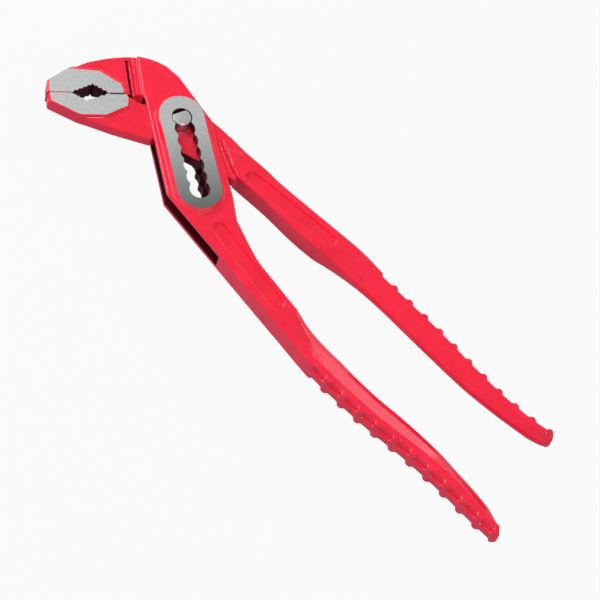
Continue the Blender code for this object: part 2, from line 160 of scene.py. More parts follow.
def group_tree(name: str, kind: str, inputs: list[tuple], outputs: list[tuple]) -> tuple:
    """Makes a node group with named inputs and outputs.

    Args:
        name: The group's name.
        kind: ShaderNodeTree or GeometryNodeTree.
        inputs: Name, socket type and default of each input, the default None where it has none.
        outputs: Name and socket type of each output.

    Returns:
        The tree, its input node and its output node.
    """
    tree = bpy.data.node_groups.new(name, kind)
    for title, socket_type, default in inputs:
        socket = tree.interface.new_socket(title, in_out="INPUT", socket_type=socket_type)
        if default is not None:
            socket.default_value = default
    for title, socket_type in outputs:
        tree.interface.new_socket(title, in_out="OUTPUT", socket_type=socket_type)
    return tree, tree.nodes.new("NodeGroupInput"), tree.nodes.new("NodeGroupOutput")


class SurfaceEffects:
    """Shader node groups that several finishes share, each built once."""

    def __init__(self) -> None:
        """Builds every group."""
        self.grain = self.brushed_grain()
        self.peel = self.forged_waves()
        self.specks = self.dust_specks()

    @staticmethod
    def brushed_grain() -> bpy.types.NodeTree:
        """Builds the fine parallel marks that a grinding belt leaves.

        Returns:
            A group with a Mask of streaks and a Height for a Bump node.
        """
        tree, given, result = group_tree(
            "brushed_grain", "ShaderNodeTree",
            [("Vector", "NodeSocketVector", None), ("Heading", "NodeSocketFloat", 0.0),
             ("Fine", "NodeSocketFloat", 2300.0), ("Long", "NodeSocketFloat", 150.0)],
            [("Mask", "NodeSocketFloat"), ("Height", "NodeSocketFloat")])
        turned = add_node(tree, "ShaderNodeVectorRotate",
                          {"Vector": given.outputs["Vector"], "Angle": given.outputs["Heading"]},
                          rotation_type="Z_AXIS")
        size = add_node(tree, "ShaderNodeCombineXYZ",
                        {"X": given.outputs["Long"], "Y": given.outputs["Fine"],
                         "Z": given.outputs["Long"]})
        drawn = add_node(tree, "ShaderNodeVectorMath", {0: turned.outputs[0], 1: size.outputs[0]},
                         operation="MULTIPLY")
        streaks = add_node(tree, "ShaderNodeTexNoise",
                           {"Vector": drawn.outputs[0], "Scale": 1.0, "Detail": 4.0, "Roughness": 0.65})
        broad = add_node(tree, "ShaderNodeTexNoise",
                         {"Vector": turned.outputs[0], "Scale": 650.0, "Detail": 3.0})
        mixed = add_node(tree, "ShaderNodeMath",
                         {0: streaks.outputs["Fac"], 1: broad.outputs["Fac"]}, operation="MULTIPLY")
        lifted = add_node(tree, "ShaderNodeMapRange",
                          {"Value": mixed.outputs[0], "From Min": 0.14, "From Max": 0.38})
        tree.links.new(lifted.outputs[0], result.inputs["Mask"])
        tree.links.new(streaks.outputs["Fac"], result.inputs["Height"])
        return tree

    @staticmethod
    def forged_waves() -> bpy.types.NodeTree:
        """Builds the gentle unevenness of lacquer over a forged surface.

        Returns:
            A group with a Height for a Bump node and a slow Drift for the colour.
        """
        tree, given, result = group_tree(
            "forged_waves", "ShaderNodeTree",
            [("Vector", "NodeSocketVector", None), ("Broad", "NodeSocketFloat", 130.0),
             ("Fine", "NodeSocketFloat", 900.0), ("Fine Share", "NodeSocketFloat", 0.25)],
            [("Height", "NodeSocketFloat"), ("Drift", "NodeSocketFloat")])
        broad, fine = (
            add_node(tree, "ShaderNodeTexNoise",
                     {"Vector": given.outputs["Vector"], "Scale": given.outputs[scale], "Detail": detail})
            for scale, detail in (("Broad", 2.0), ("Fine", 3.0)))
        total = add_node(tree, "ShaderNodeMath",
                         {0: fine.outputs["Fac"], 1: given.outputs["Fine Share"],
                          2: broad.outputs["Fac"]}, operation="MULTIPLY_ADD")
        tree.links.new(total.outputs[0], result.inputs["Height"])
        tree.links.new(broad.outputs["Fac"], result.inputs["Drift"])
        return tree

    @staticmethod
    def dust_specks() -> bpy.types.NodeTree:
        """Builds small scattered specks, each of its own size.

        Returns:
            A group with a Mask that is 1 inside a speck.
        """
        tree, given, result = group_tree(
            "dust_specks", "ShaderNodeTree",
            [("Vector", "NodeSocketVector", None), ("Density", "NodeSocketFloat", 500.0),
             ("Radius", "NodeSocketFloat", 0.2), ("Rarity", "NodeSocketFloat", 0.8)],
            [("Mask", "NodeSocketFloat")])
        cells = add_node(tree, "ShaderNodeTexVoronoi",
                         {"Vector": given.outputs["Vector"], "Scale": given.outputs["Density"]})
        chance = add_node(tree, "ShaderNodeSeparateColor", {"Color": cells.outputs["Color"]})
        chosen = add_node(tree, "ShaderNodeMath",
                          {0: chance.outputs["Red"], 1: given.outputs["Rarity"]},
                          operation="GREATER_THAN")
        radius = add_node(tree, "ShaderNodeMath",
                          {0: given.outputs["Radius"], 1: chance.outputs["Green"]}, operation="MULTIPLY")
        inside = add_node(tree, "ShaderNodeMath",
                          {0: radius.outputs[0], 1: cells.outputs["Distance"]}, operation="GREATER_THAN")
        mask = add_node(tree, "ShaderNodeMath",
                        {0: chosen.outputs[0], 1: inside.outputs[0]}, operation="MULTIPLY")
        tree.links.new(mask.outputs[0], result.inputs["Mask"])
        return tree


def start_material(name: str) -> tuple[bpy.types.Material, bpy.types.NodeTree, bpy.types.Node, Socket]:
    """Starts a material on Object coordinates.

    Args:
        name: The material's name.

    Returns:
        The material, its tree, its Principled BSDF and the coordinates.
    """
    material = bpy.data.materials.new(name)
    material.use_nodes = True
    tree = material.node_tree
    place = tree.nodes.new("ShaderNodeTexCoord")
    return material, tree, tree.nodes["Principled BSDF"], place.outputs["Object"]


def mix_colours(tree: bpy.types.NodeTree, mask: Socket, first: object, second: object) -> Socket:
    """Mixes two colours by a mask.

    Args:
        tree: The material's tree.
        mask: Where the second colour shows.
        first: Colour or socket shown where the mask is 0.
        second: Colour or socket shown where the mask is 1.

    Returns:
        The mixed colour's socket.
    """
    mix = add_node(tree, "ShaderNodeMix", data_type="RGBA")
    for socket, value in ((mix.inputs[6], first), (mix.inputs[7], second)):
        if isinstance(value, bpy.types.NodeSocket):
            tree.links.new(value, socket)
        else:
            socket.default_value = (*value, 1.0)
    tree.links.new(mask, mix.inputs[0])
    return mix.outputs[2]


@dataclass(frozen=True)
class Scatter:
    """How densely small marks are strewn, how few of them show and how large they get."""

    density: float
    rarity: float
    radius: float = 0.2

    def strew(self, tree: bpy.types.NodeTree, effects: SurfaceEffects, place: Socket) -> Socket:
        """Adds the marks to a material.

        Args:
            tree: The material's tree.
            effects: The shared node groups.
            place: The coordinates.

        Returns:
            The socket of their mask.
        """
        marks = add_node(tree, "ShaderNodeGroup", node_tree=effects.specks)
        tree.links.new(place, marks.inputs["Vector"])
        marks.inputs["Density"].default_value = self.density
        marks.inputs["Rarity"].default_value = self.rarity
        marks.inputs["Radius"].default_value = self.radius
        return marks.outputs["Mask"]


@dataclass(frozen=True)
class Lacquer:
    """Glossy red lacquer that lies over the forging."""

    name: str
    colour: tuple[float, float, float]
    deep: tuple[float, float, float]
    speck: tuple[float, float, float] = (0.16, 0.004, 0.012)
    specks: Scatter = Scatter(700.0, 0.93, 0.22)
    pinholes: Scatter = Scatter(1100.0, 0.72, 0.42)
    roughness: float = 0.07
    speck_roughness_share: float = 3.0
    waves: float = 0.00005
    dents: float = 0.00006
    gloss: float = 0.5
    tint: tuple[float, float, float] = (0.78, 0.82, 1.0)

    def make(self, effects: SurfaceEffects) -> bpy.types.Material:
        """Makes the material.

        Args:
            effects: The shared node groups.

        Returns:
            The finished material.
        """
        material, tree, shader, place = start_material(self.name)
        waves = add_node(tree, "ShaderNodeGroup", node_tree=effects.peel)
        tree.links.new(place, waves.inputs["Vector"])
        specks, pinholes = (marks.strew(tree, effects, place) for marks in (self.specks, self.pinholes))
        drift = add_node(tree, "ShaderNodeMapRange",
                         {"Value": waves.outputs["Drift"], "From Min": 0.3, "From Max": 0.7})
        toned = mix_colours(tree, drift.outputs[0], self.colour, self.deep)
        dotted = mix_colours(tree, specks, toned, self.speck)
        tree.links.new(dotted, shader.inputs["Base Color"])
        bump = add_node(tree, "ShaderNodeBump",
                        {"Height": waves.outputs["Height"], "Distance": self.waves, "Strength": 1.0})
        dented = add_node(tree, "ShaderNodeBump",
                          {"Height": pinholes, "Distance": self.dents, "Strength": 1.0,
                           "Normal": bump.outputs[0]}, invert=True)
        tree.links.new(dented.outputs[0], shader.inputs["Normal"])
        gloss = add_node(tree, "ShaderNodeMapRange",
                         {"Value": specks, "To Min": self.roughness,
                          "To Max": self.speck_roughness_share * self.roughness})
        tree.links.new(gloss.outputs[0], shader.inputs["Roughness"])
        shader.inputs["Specular IOR Level"].default_value = self.gloss
        shader.inputs["Specular Tint"].default_value = (*self.tint, 1.0)
        return material


@dataclass(frozen=True)
class GroundSteel:
    """Bare steel with the grain of a grinding belt, small pits, a cool tone and painted shade that darkens
    it along a heading.
    """

    name: str
    pale: tuple[float, float, float]
    dark: tuple[float, float, float]
    heading: float
    # Painted shade: between two distances along this heading the colour is mixed towards a dark grey, up
    # to a share
    painted_shade_heading: tuple[float, float] = (0.0, 0.0)
    painted_shade_ends: tuple[float, float] = (0.004, 0.042)
    painted_shade_share: float = 0.9
    pit: tuple[float, float, float] = (0.05, 0.045, 0.045)
    pits: Scatter = Scatter(900.0, 0.9)
    painted_shade_colour: tuple[float, float, float] = (0.17, 0.18, 0.17)
    roughness: float = 0.42
    roughness_shares: tuple[float, float] = (1.25, 0.85)
    depth: float = 0.000012

    def make(self, effects: SurfaceEffects) -> bpy.types.Material:
        """Makes the material.

        Args:
            effects: The shared node groups.

        Returns:
            The finished material.
        """
        material, tree, shader, place = start_material(self.name)
        grain = add_node(tree, "ShaderNodeGroup", node_tree=effects.grain)
        tree.links.new(place, grain.inputs["Vector"])
        grain.inputs["Heading"].default_value = -math.radians(self.heading)
        streaked = mix_colours(tree, grain.outputs["Mask"], self.dark, self.pale)
        # Painted shade that darkens the steel along the heading
        along = add_node(tree, "ShaderNodeVectorMath", {0: place, 1: (*self.painted_shade_heading, 0.0)},
                         operation="DOT_PRODUCT")
        painted_shade_amount = add_node(tree, "ShaderNodeMapRange",
                        {"Value": along.outputs["Value"], "From Min": self.painted_shade_ends[0],
                         "From Max": self.painted_shade_ends[1], "To Max": self.painted_shade_share})
        steel_with_painted_shade = mix_colours(tree, painted_shade_amount.outputs[0], streaked, self.painted_shade_colour)
        pitted = mix_colours(tree, self.pits.strew(tree, effects, place), steel_with_painted_shade, self.pit)
        tree.links.new(pitted, shader.inputs["Base Color"])
        shader.inputs["Metallic"].default_value = 1.0
        rough = add_node(tree, "ShaderNodeMapRange",
                         {"Value": grain.outputs["Mask"],
                          "To Min": self.roughness_shares[0] * self.roughness,
                          "To Max": self.roughness_shares[1] * self.roughness})
        tree.links.new(rough.outputs[0], shader.inputs["Roughness"])
        bump = add_node(tree, "ShaderNodeBump",
                        {"Height": grain.outputs["Height"], "Distance": self.depth, "Strength": 1.0})
        tree.links.new(bump.outputs[0], shader.inputs["Normal"])
        return material


RED_LACQUER = Lacquer("red_lacquer", (0.95, 0.019, 0.053), (0.86, 0.014, 0.043))
# A dark, less glossy copy of the red lacquer: painted shade on faces in the passage, slot, mouth and
# groove, where shade falls
PAINTED_SHADE_LACQUER = Lacquer("lacquer_with_painted_shade", (0.085, 0.0009, 0.007), (0.055, 0.0005, 0.004),
                         roughness=0.3, gloss=0.3)
# The ground faces darken with painted shade along the slot's heading, towards its far end
GROUND_FACES = GroundSteel("ground_steel", (0.87, 0.895, 0.875), (0.57, 0.595, 0.58), -51.0,
                           tuple(SLOT.heading()))
PIN_STEEL = GroundSteel("pin_steel", (0.76, 0.78, 0.765), (0.50, 0.52, 0.51), -40.0)


def arc(centre: Vector, radius: float, start: float, end: float, steps: int) -> list[Vector]:
    """Gives points on an arc.

    Args:
        centre: The arc's centre.
        radius: Its radius.
        start: First angle, in degrees.
        end: Last angle, in degrees.
        steps: Number of chords.

    Returns:
        The points, both ends included.
    """
    turns = [math.radians(start + (end - start) * step / steps) for step in range(steps + 1)]
    return [centre + radius * Vector((math.cos(turn), math.sin(turn))) for turn in turns]


def circle(radius: float) -> list[Vector]:
    """Gives a circle round the pin's axis, a point every three degrees."""
    return arc(Vector((0, 0)), radius, 0, 357, 119)


def stadium(start: Vector, end: Vector, radius: float, steps: int = 32) -> list[Vector]:
    """Gives a closed outline round the line from start to end.

    Args:
        start: One end of the line.
        end: The other end.
        radius: Distance from the line.
        steps: Chords in each round end.

    Returns:
        The outline's points.
    """
    heading = math.degrees(math.atan2(end.y - start.y, end.x - start.x))
    return (arc(end, radius, heading - 90, heading + 90, steps)
            + arc(start, radius, heading + 90, heading + 270, steps))


def smooth(points: list[Vector], steps: int = 12) -> list[Vector]:
    """Gives a smooth curve through the points, with so many chords between each two.

    Args:
        points: What the curve passes through.
        steps: Chords between two of them.

    Returns:
        The curve's points.
    """
    padded = [2 * points[0] - points[1], *points, 2 * points[-1] - points[-2]]
    curve = []
    for before, start, end, after in zip(padded, padded[1:], padded[2:], padded[3:]):
        for step in range(steps):
            t = step / steps
            curve.append(0.5 * (2 * start + (end - before) * t
                                + (2 * before - 5 * start + 4 * end - after) * t ** 2
                                + (3 * start - before - 3 * end + after) * t ** 3))
    return curve + [points[-1]]


def across_at(curve: list[Vector], along: float) -> float:
    """Reads a curve's second coordinate where its first one reaches a value.

    Args:
        curve: Points in order of their first coordinate.
        along: The first coordinate.

    Returns:
        The second coordinate, or the curve's last one past its end.
    """
    for start, end in zip(curve, curve[1:]):
        if end.x >= along:
            return start.y + (end.y - start.y) * (along - start.x) / (end.x - start.x)
    return curve[-1].y


def rim_tools(outline: list[Vector], rims: dict[Face, tuple[float, float]]) -> list[Solid]:
    """Makes the tools that trim what stands out past an edge and slope its two rims.

    Args:
        outline: The area beyond the edge.
        rims: For each face, how far from the middle the upright wall reaches and how far the rim
            slopes inward and upward.

    Returns:
        The tools.
    """
    tools = [slab("trim", outline, -THROUGH, THROUGH)]
    for face, (wall, run) in rims.items():
        rings = [[Vector((*point, face.value * height)) for point in grown(outline, spread)]
                 for height, spread in ((wall, HAIR), (wall + run, run), (THROUGH, run))]
        tools.append(loft("trim", rings))
    return tools


def grown(outline: list[Vector], distance: float) -> list[Vector]:
    """Moves each side of a closed outline outward by a distance.

    Args:
        outline: The closed outline.
        distance: How far each side moves.

    Returns:
        The larger outline.
    """
    turning = sum(a.x * b.y - b.x * a.y for a, b in zip(outline, outline[1:] + outline[:1]))
    side = math.copysign(distance, turning)
    points = []
    for before, point, after in zip(outline[-1:] + outline, outline, outline[1:] + outline[:1]):
        first = (point - before).normalized()
        second = (after - point).normalized()
        normal = Vector((first.y + second.y, -first.x - second.x)).normalized()
        points.append(point + normal * side / max(normal.dot(Vector((first.y, -first.x))), 0.5))
    return points


def new_solid(name: str, bm: bmesh.types.BMesh) -> Solid:
    """Turns a bmesh into an object whose faces point outwards.

    Args:
        name: The object's name.
        bm: The bmesh, which is freed.

    Returns:
        The object.
    """
    bmesh.ops.recalc_face_normals(bm, faces=bm.faces)
    mesh = bpy.data.meshes.new(name)
    bm.to_mesh(mesh)
    bm.free()
    made = bpy.data.objects.new(name, mesh)
    bpy.context.scene.collection.objects.link(made)
    return made


def slab(name: str, outline: list[Vector], low: float, high: float, rim: float = 0.0,
         rise: float = 0.0) -> Solid:
    """Makes a solid from a closed outline.

    Args:
        name: The solid's name.
        outline: The plan outline.
        low: Height of its lower face.
        high: Height of its upper face.
        rim: Width of the slope round both faces.
        rise: How far both faces rise above that slope's foot.

    Returns:
        The closed solid.
    """
    bm = bmesh.new()
    foot = bm.faces.new([bm.verts.new((*point, low)) for point in outline])
    grown_up = bmesh.ops.extrude_face_region(bm, geom=[foot])["geom"]
    bmesh.ops.translate(bm, vec=(0, 0, high - low),
                        verts=[item for item in grown_up if isinstance(item, bmesh.types.BMVert)])
    if rim:
        bmesh.ops.recalc_face_normals(bm, faces=bm.faces)
        caps = [item for item in bm.faces if abs(item.normal.z) > 0.9]
        bmesh.ops.inset_region(bm, faces=caps, thickness=rim, depth=rise, use_boundary=True,
                               use_even_offset=True)
    return new_solid(name, bm)


def loft(name: str, rings: list[list[Vector]]) -> Solid:
    """Skins closed rings of equally many points and closes both ends.

    Args:
        name: The solid's name.
        rings: The rings, from one end to the other.

    Returns:
        The closed solid.
    """
    bm = bmesh.new()
    rows = [[bm.verts.new(point) for point in ring] for ring in rings]
    for row, following in zip(rows, rows[1:]):
        for index in range(len(row)):
            after = (index + 1) % len(row)
            bm.faces.new((row[index], row[after], following[after], following[index]))
    bm.faces.new(rows[0])
    bm.faces.new(rows[-1])
    return new_solid(name, bm)


def settle(solid: Solid) -> Solid:
    """Turns a solid's modifiers into plain mesh.

    Args:
        solid: The solid to work on.

    Returns:
        The same object with its new mesh.
    """
    depsgraph = bpy.context.evaluated_depsgraph_get()
    mesh = bpy.data.meshes.new_from_object(solid.evaluated_get(depsgraph))
    solid.modifiers.clear()
    worn = solid.data
    solid.data = mesh
    bpy.data.meshes.remove(worn)
    return solid


def discard(solids: list[Solid]) -> None:
    """Deletes construction solids and their meshes.

    Args:
        solids: What to delete.
    """
    for solid in solids:
        mesh = solid.data
        bpy.data.objects.remove(solid)
        bpy.data.meshes.remove(mesh)


def combine(solid: Solid, tools: list[Solid], cut: Cut, solver: str = "MANIFOLD") -> Solid:
    """Cuts or joins a solid with several tools and deletes them.

    Args:
        solid: What is worked on.
        tools: Closed solids.
        cut: What to do with each.
        solver: Blender's Boolean solver.

    Returns:
        The same object with its new mesh.
    """
    for tool in tools:
        boolean = solid.modifiers.new(tool.name, "BOOLEAN")
        boolean.operation = cut.value
        boolean.solver = solver
        boolean.object = tool
        boolean.use_self = solver == "EXACT"
        settle(solid)
    discard(tools)
    return solid


@dataclass(frozen=True)
class Forge:
    """How finely a forged body is meshed, and how softly lacquer rounds it."""

    voxel: float = 0.2
    rounds: int = 4

    def forge(self, name: str, bodies: list[Solid], tools: list[Solid]) -> Solid:
        """Makes one soft-edged forging from overlapping bodies and the tools that hollow it.

        Args:
            name: The forging's name.
            bodies: Closed solids that overlap.
            tools: What the dies press into them.

        Returns:
            The forging as one closed skin.
        """
        solid, *others = bodies
        combine(solid, others, Cut.JOIN)
        combine(solid, tools, Cut.REMOVE)
        solid.name = name
        remesh = solid.modifiers.new("skin", "REMESH")
        remesh.mode = "VOXEL"
        remesh.voxel_size = self.voxel
        rounding = solid.modifiers.new("rounding", "SMOOTH")
        rounding.factor = 0.5
        rounding.iterations = self.rounds
        return settle(solid)

    @staticmethod
    def thin(solid: Solid, triangles: int) -> Solid:
        """Brings a solid down to about so many triangles and shades it smoothly.

        Args:
            solid: The solid to work on.
            triangles: The most triangles that it may have.

        Returns:
            The same object.
        """
        count = sum(len(polygon.vertices) - 2 for polygon in solid.data.polygons)
        if count > triangles:
            decimate = solid.modifiers.new("thin", "DECIMATE")
            decimate.ratio = triangles / count
            settle(solid)
        solid.data.shade_smooth()
        solid.data.set_sharp_from_angle(angle=SHARP_EDGE)
        return solid


class PathRow:
    """A Geometry Nodes tree that sets copies of a tool along a path."""

    def __init__(self) -> None:
        """Builds the tree: count points along the path, each with one turned tool."""
        tree, given, result = group_tree(
            "row_along_path", "GeometryNodeTree",
            [("Path", "NodeSocketGeometry", None), ("Tool", "NodeSocketObject", None),
             ("Count", "NodeSocketInt", 2), ("Material", "NodeSocketMaterial", None)],
            [("Row", "NodeSocketGeometry")])
        curve = add_node(tree, "GeometryNodeMeshToCurve", {"Mesh": given.outputs["Path"]})
        spots = add_node(tree, "GeometryNodeCurveToPoints",
                         {"Curve": curve.outputs[0], "Count": given.outputs["Count"]}, mode="COUNT")
        turn = add_node(tree, "FunctionNodeAlignRotationToVector",
                        {"Vector": spots.outputs["Tangent"]}, axis="X", pivot_axis="Z")
        tool = add_node(tree, "GeometryNodeObjectInfo", {"Object": given.outputs["Tool"]})
        copies = add_node(tree, "GeometryNodeInstanceOnPoints",
                          {"Points": spots.outputs["Points"], "Instance": tool.outputs["Geometry"],
                           "Rotation": turn.outputs[0]})
        real = add_node(tree, "GeometryNodeRealizeInstances", {"Geometry": copies.outputs[0]})
        dressed = add_node(tree, "GeometryNodeSetMaterial",
                           {"Geometry": real.outputs[0], "Material": given.outputs["Material"]})
        tree.links.new(dressed.outputs[0], result.inputs["Row"])
        self.tree = tree

    def lay(self, name: str, path: list[Vector], tool: Solid, count: int,
            material: bpy.types.Material) -> Solid:
        """Sets copies of a tool along a path.

        Args:
            name: The row's name.
            path: Plan points of the path, from the first copy to the last.
            tool: The solid to repeat, with X along the path. It is deleted.
            count: Number of copies.
            material: What the copies are made of.

        Returns:
            The row as one plain mesh.
        """
        bm = bmesh.new()
        verts = [bm.verts.new((*point, 0)) for point in path]
        for start, end in zip(verts, verts[1:]):
            bm.edges.new((start, end))
        row = new_solid(name, bm)
        nodes = row.modifiers.new("row", "NODES")
        nodes.node_group = self.tree
        values = {"Tool": tool, "Count": count, "Material": material}
        for item in self.tree.interface.items_tree:
            if item.in_out == "INPUT" and item.name in values:
                nodes[item.identifier] = values[item.name]
        settle(row)
        discard([tool])
        return row


@dataclass
class Workshop:
    """What every sub-assembly needs: finishes, the row tree and the forge."""

    lacquer: bpy.types.Material
    # The dark copy of the lacquer, which paints shade
    painted_shade_finish: bpy.types.Material
    ground: bpy.types.Material
    pin_steel: bpy.types.Material
    middle: float
    rows: PathRow = field(default_factory=PathRow)
    smith: Forge = field(default_factory=Forge)

    def hand_over(self, solid: Solid, body: str, node: str) -> None:
        """Brings a finished solid to its place in metres and tells the frame about it.

        Args:
            solid: The finished piece, in millimetres round the middle plane.
            body: The body that it rides on.
            node: The CAD node that it stands for.
        """
        solid.data.transform(Matrix.Translation((0, 0, self.middle)) @ Matrix.Scale(MM, 4))
        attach(solid, body)
        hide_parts(node)
        LOG.info("%s: %d triangles", solid.name,
                 sum(len(polygon.vertices) - 2 for polygon in solid.data.polygons))


@dataclass
class Mouth:
    """The toothed opening between the jaws, seen from one jaw."""

    side: Side
    peak: tuple[float, float]
    front: float = -43.0
    back: float = -27.0
    fine_end: float = -21.8
    nose: float = -54.0
    root: float = -17.6
    line: float = 0.2
    tooth: float = 0.55
    fine_tooth: float = 0.3
    coarse: tuple[int, int] = (5, 4)
    fine: int = 6
    far: float = 20.0
    half: float = 10.0

    @staticmethod
    def zigzag(start: Vector, end: Vector, count: int, height: float) -> list[Vector]:
        """Gives a line of teeth that stand to the left of the way from start to end.

        Args:
            start: Where the line starts.
            end: Where it ends.
            count: Number of teeth.
            height: How far their tips stand off the line.

        Returns:
            The line's points.
        """
        step = (end - start) / count
        side = Vector((-step.y, step.x)).normalized() * height
        points = []
        for tooth in range(count):
            points += [start + step * tooth, start + step * (tooth + 0.5) + side]
        return points + [end]

    def tool(self) -> Solid:
        """Makes the solid that clears this jaw's side of the mouth.

        Returns:
            The tool.
        """
        sign = self.side.value
        line = sign * self.line
        peak = Vector((self.peak[0], sign * self.peak[1]))
        front, back, last = (Vector((x, line)) for x in (self.front, self.back, self.fine_end))
        profile = self.zigzag(front, peak, self.coarse[0], -sign * self.tooth)
        profile += self.zigzag(peak, back, self.coarse[1], -sign * self.tooth)[1:]
        profile += self.zigzag(back, last, self.fine, sign * self.fine_tooth)[1:]
        far = -sign * self.far
        outline = [Vector((self.nose, line)), *profile, Vector((self.root, line)),
                   Vector((self.root, far)), Vector((self.nose, far))]
        return slab("mouth", [JAW.at(*point) for point in outline], -self.half, self.half)


@dataclass
class Handle:
    """One handle: a plain neck that turns into a grip with a strip of pockets and a long slope."""

    name: str
    axes: Axes
    outer: list[tuple[float, float]]
    inner: list[tuple[float, float]]
    reach: float
    neck: float
    strip: list[tuple[float, float]]
    turn: int
    pocket_start: float
    pocket_pitch: float
    label_ends: tuple[tuple[float, float], tuple[float, float]]
    top: float = 4.85
    edge: float = 0.5
    grip_edge: float = 0.5
    overlap: float = 8.0
    ramp: float = 14.0
    fall: float = 16.0
    bend_run: float = 0.64
    bend_fall: float = 0.5
    foot_round: float = 0.8
    foot_height: float = 1.7
    tip: float = 2.5
    tip_share: float = 0.35
    stations: int = 130
    crowding: float = 0.8
    pocket_count: int = 11
    pocket_half: tuple[tuple[float, float], ...] = (
        (4.05, -2.0), (4.05, -0.15), (3.6, 0.0), (3.15, 0.3), (2.8, 0.75), (2.35, 1.2))
    pocket_floor: float = 1.2
    pocket_draft: float = 0.07
    pocket_lean: float = 0.2
    pocket_flare: float = 0.55
    pocket_over: float = 2.0
    label_radius: float = 3.15
    label_floor: float = 3.6
    label_brim: float = 5.5
    label_lid: float = 6.0
    label_slope: float = 0.6

    def curves(self) -> tuple[list[Vector], list[Vector]]:
        """Gives the smooth outer and inner edge in the handle's own frame."""
        return (smooth([Vector(point) for point in self.outer]),
                smooth([Vector(point) for point in self.inner]))

    def neck_outline(self, start: float, end: float) -> tuple[list[Vector], list[Vector]]:
        """Gives the stretches of the inner and the outer edge between two stations.

        Args:
            start: Where the stretches start along the handle.
            end: Where they end.

        Returns:
            The inner and the outer stretch.
        """
        stretches = []
        for curve in reversed(self.curves()):
            first = max(start, curve[0].x)
            spots = [(first, across_at(curve, first))]
            spots += [tuple(spot) for spot in curve if first < spot.x < end - self.edge]
            spots.append((end, across_at(curve, end)))
            stretches.append(self.axes.line(spots))
        return stretches[0], stretches[1]

    def section(self, outer: Vector, inner: Vector, strip: float, grip: float, sunk: float,
                thin: float) -> list[Vector]:
        """Gives one ring of the handle.

        Args:
            outer: Plan point on the outer edge.
            inner: Plan point on the inner edge.
            strip: Width of the strip along the outer edge.
            grip: 0 where the top is flat to its inner edge and 1 where it is the grip's strip.
            sunk: 0 where the inner wall has its full height and 1 where the slope has run down.
            thin: Share of the full thickness.

        Returns:
            The ring's points.
        """
        across = inner - outer
        width = across.length
        unit = across / width
        top = self.top * thin
        edge = min(self.edge * (1 - grip) + self.grip_edge * grip, width / 4)
        ledge = (width - edge) * (1 - grip) + min(strip, width - 2 * edge) * grip
        foot = width - self.foot_round * sunk * min(1, width / (4 * self.foot_round))
        height = (top - edge) * (1 - sunk) + self.foot_height * sunk
        bend = (ledge + self.bend_run * (foot - ledge), top - self.bend_fall * (top - height))
        half = [(0, 0), (0, top - edge), (edge, top), (ledge, top), bend, (foot, height), (width, 0)]
        ring = half + [(run, -level) for run, level in half[-2:0:-1]]
        return [Vector((*(outer + unit * run), level)) for run, level in ring]

    @staticmethod
    def ease(part: float) -> float:
        """Goes from 0 to 1 as a part does, more and more gently, and stays there on either side."""
        return 1 - (1 - min(max(part, 0), 1)) ** 2

    def body(self) -> Solid:
        """Lofts the grip from inside the neck to the tip.

        Returns:
            The grip.
        """
        outer, inner = self.curves()
        first = self.neck - self.overlap
        rings = []
        for station in range(self.stations + 1):
            part = station / self.stations
            along = first + (self.reach - first) * math.sin(math.pi / 2 * part ** self.crowding)
            grip, sunk = (self.ease((along - self.neck) / run) for run in (self.ramp, self.fall))
            thin = 1 - self.tip_share * max(0, (along - self.reach + self.tip) / self.tip) ** 2
            top = self.axes.at(along, across_at(outer, along))
            foot = self.axes.at(along, across_at(inner, along))
            strip = across_at([Vector(point) for point in self.strip], along)
            rings.append(self.section(top, foot, strip, grip, sunk, thin))
        return loft(self.name, rings)

    def pocket(self) -> Solid:
        """Makes one pocket's tool for both faces, with X along the edge and Y into the handle.

        Returns:
            The tool.
        """
        half = list(self.pocket_half)
        outline = half + [(-run, depth) for run, depth in reversed(half)]
        tall = self.top - self.pocket_floor
        sides = []
        for face in Face:
            rings = []
            for height, flare in ((self.pocket_floor, HAIR), (self.top - self.pocket_flare, HAIR),
                                  (self.top, self.pocket_flare),
                                  (self.top + self.pocket_over, self.pocket_flare)):
                share = min(height - self.top, 0) / tall
                spread, lean = 1 + self.pocket_draft * share, 1 + self.pocket_lean * share
                ring = [Vector((run * spread, depth * lean * self.turn)) for run, depth in outline]
                ring = grown(ring, flare)
                rings.append([Vector((*point, height * face.value)) for point in ring])
            sides.append(loft("pocket", rings))
        return combine(sides[0], sides[1:], Cut.JOIN)

    def pockets(self, shop: Workshop) -> Solid:
        """Lays the row of pocket tools along the outer edge.

        Args:
            shop: The workshop, which holds the tree of rows.

        Returns:
            The row as one tool.
        """
        outer, _ = self.curves()
        first = self.pocket_start
        last = first + self.pocket_pitch * (self.pocket_count - 1)
        spots = [(first, across_at(outer, first))]
        spots += [tuple(spot) for spot in outer if first < spot.x < last]
        spots.append((last, across_at(outer, last)))
        path = self.axes.line(spots)
        return shop.rows.lay("pockets", path, self.pocket(), self.pocket_count, shop.lacquer)

    def label(self) -> Solid:
        """Makes the tool of the bare recess on the front, with sloped walls.

        Returns:
            The tool.
        """
        start, end = self.axes.line(list(self.label_ends))
        reach = (end - start).normalized() * self.label_radius
        outline = stadium(start + reach, end - reach, self.label_radius)
        return slab("recess", outline, self.label_brim, self.label_lid, self.label_slope,
                    self.label_brim - self.label_floor)


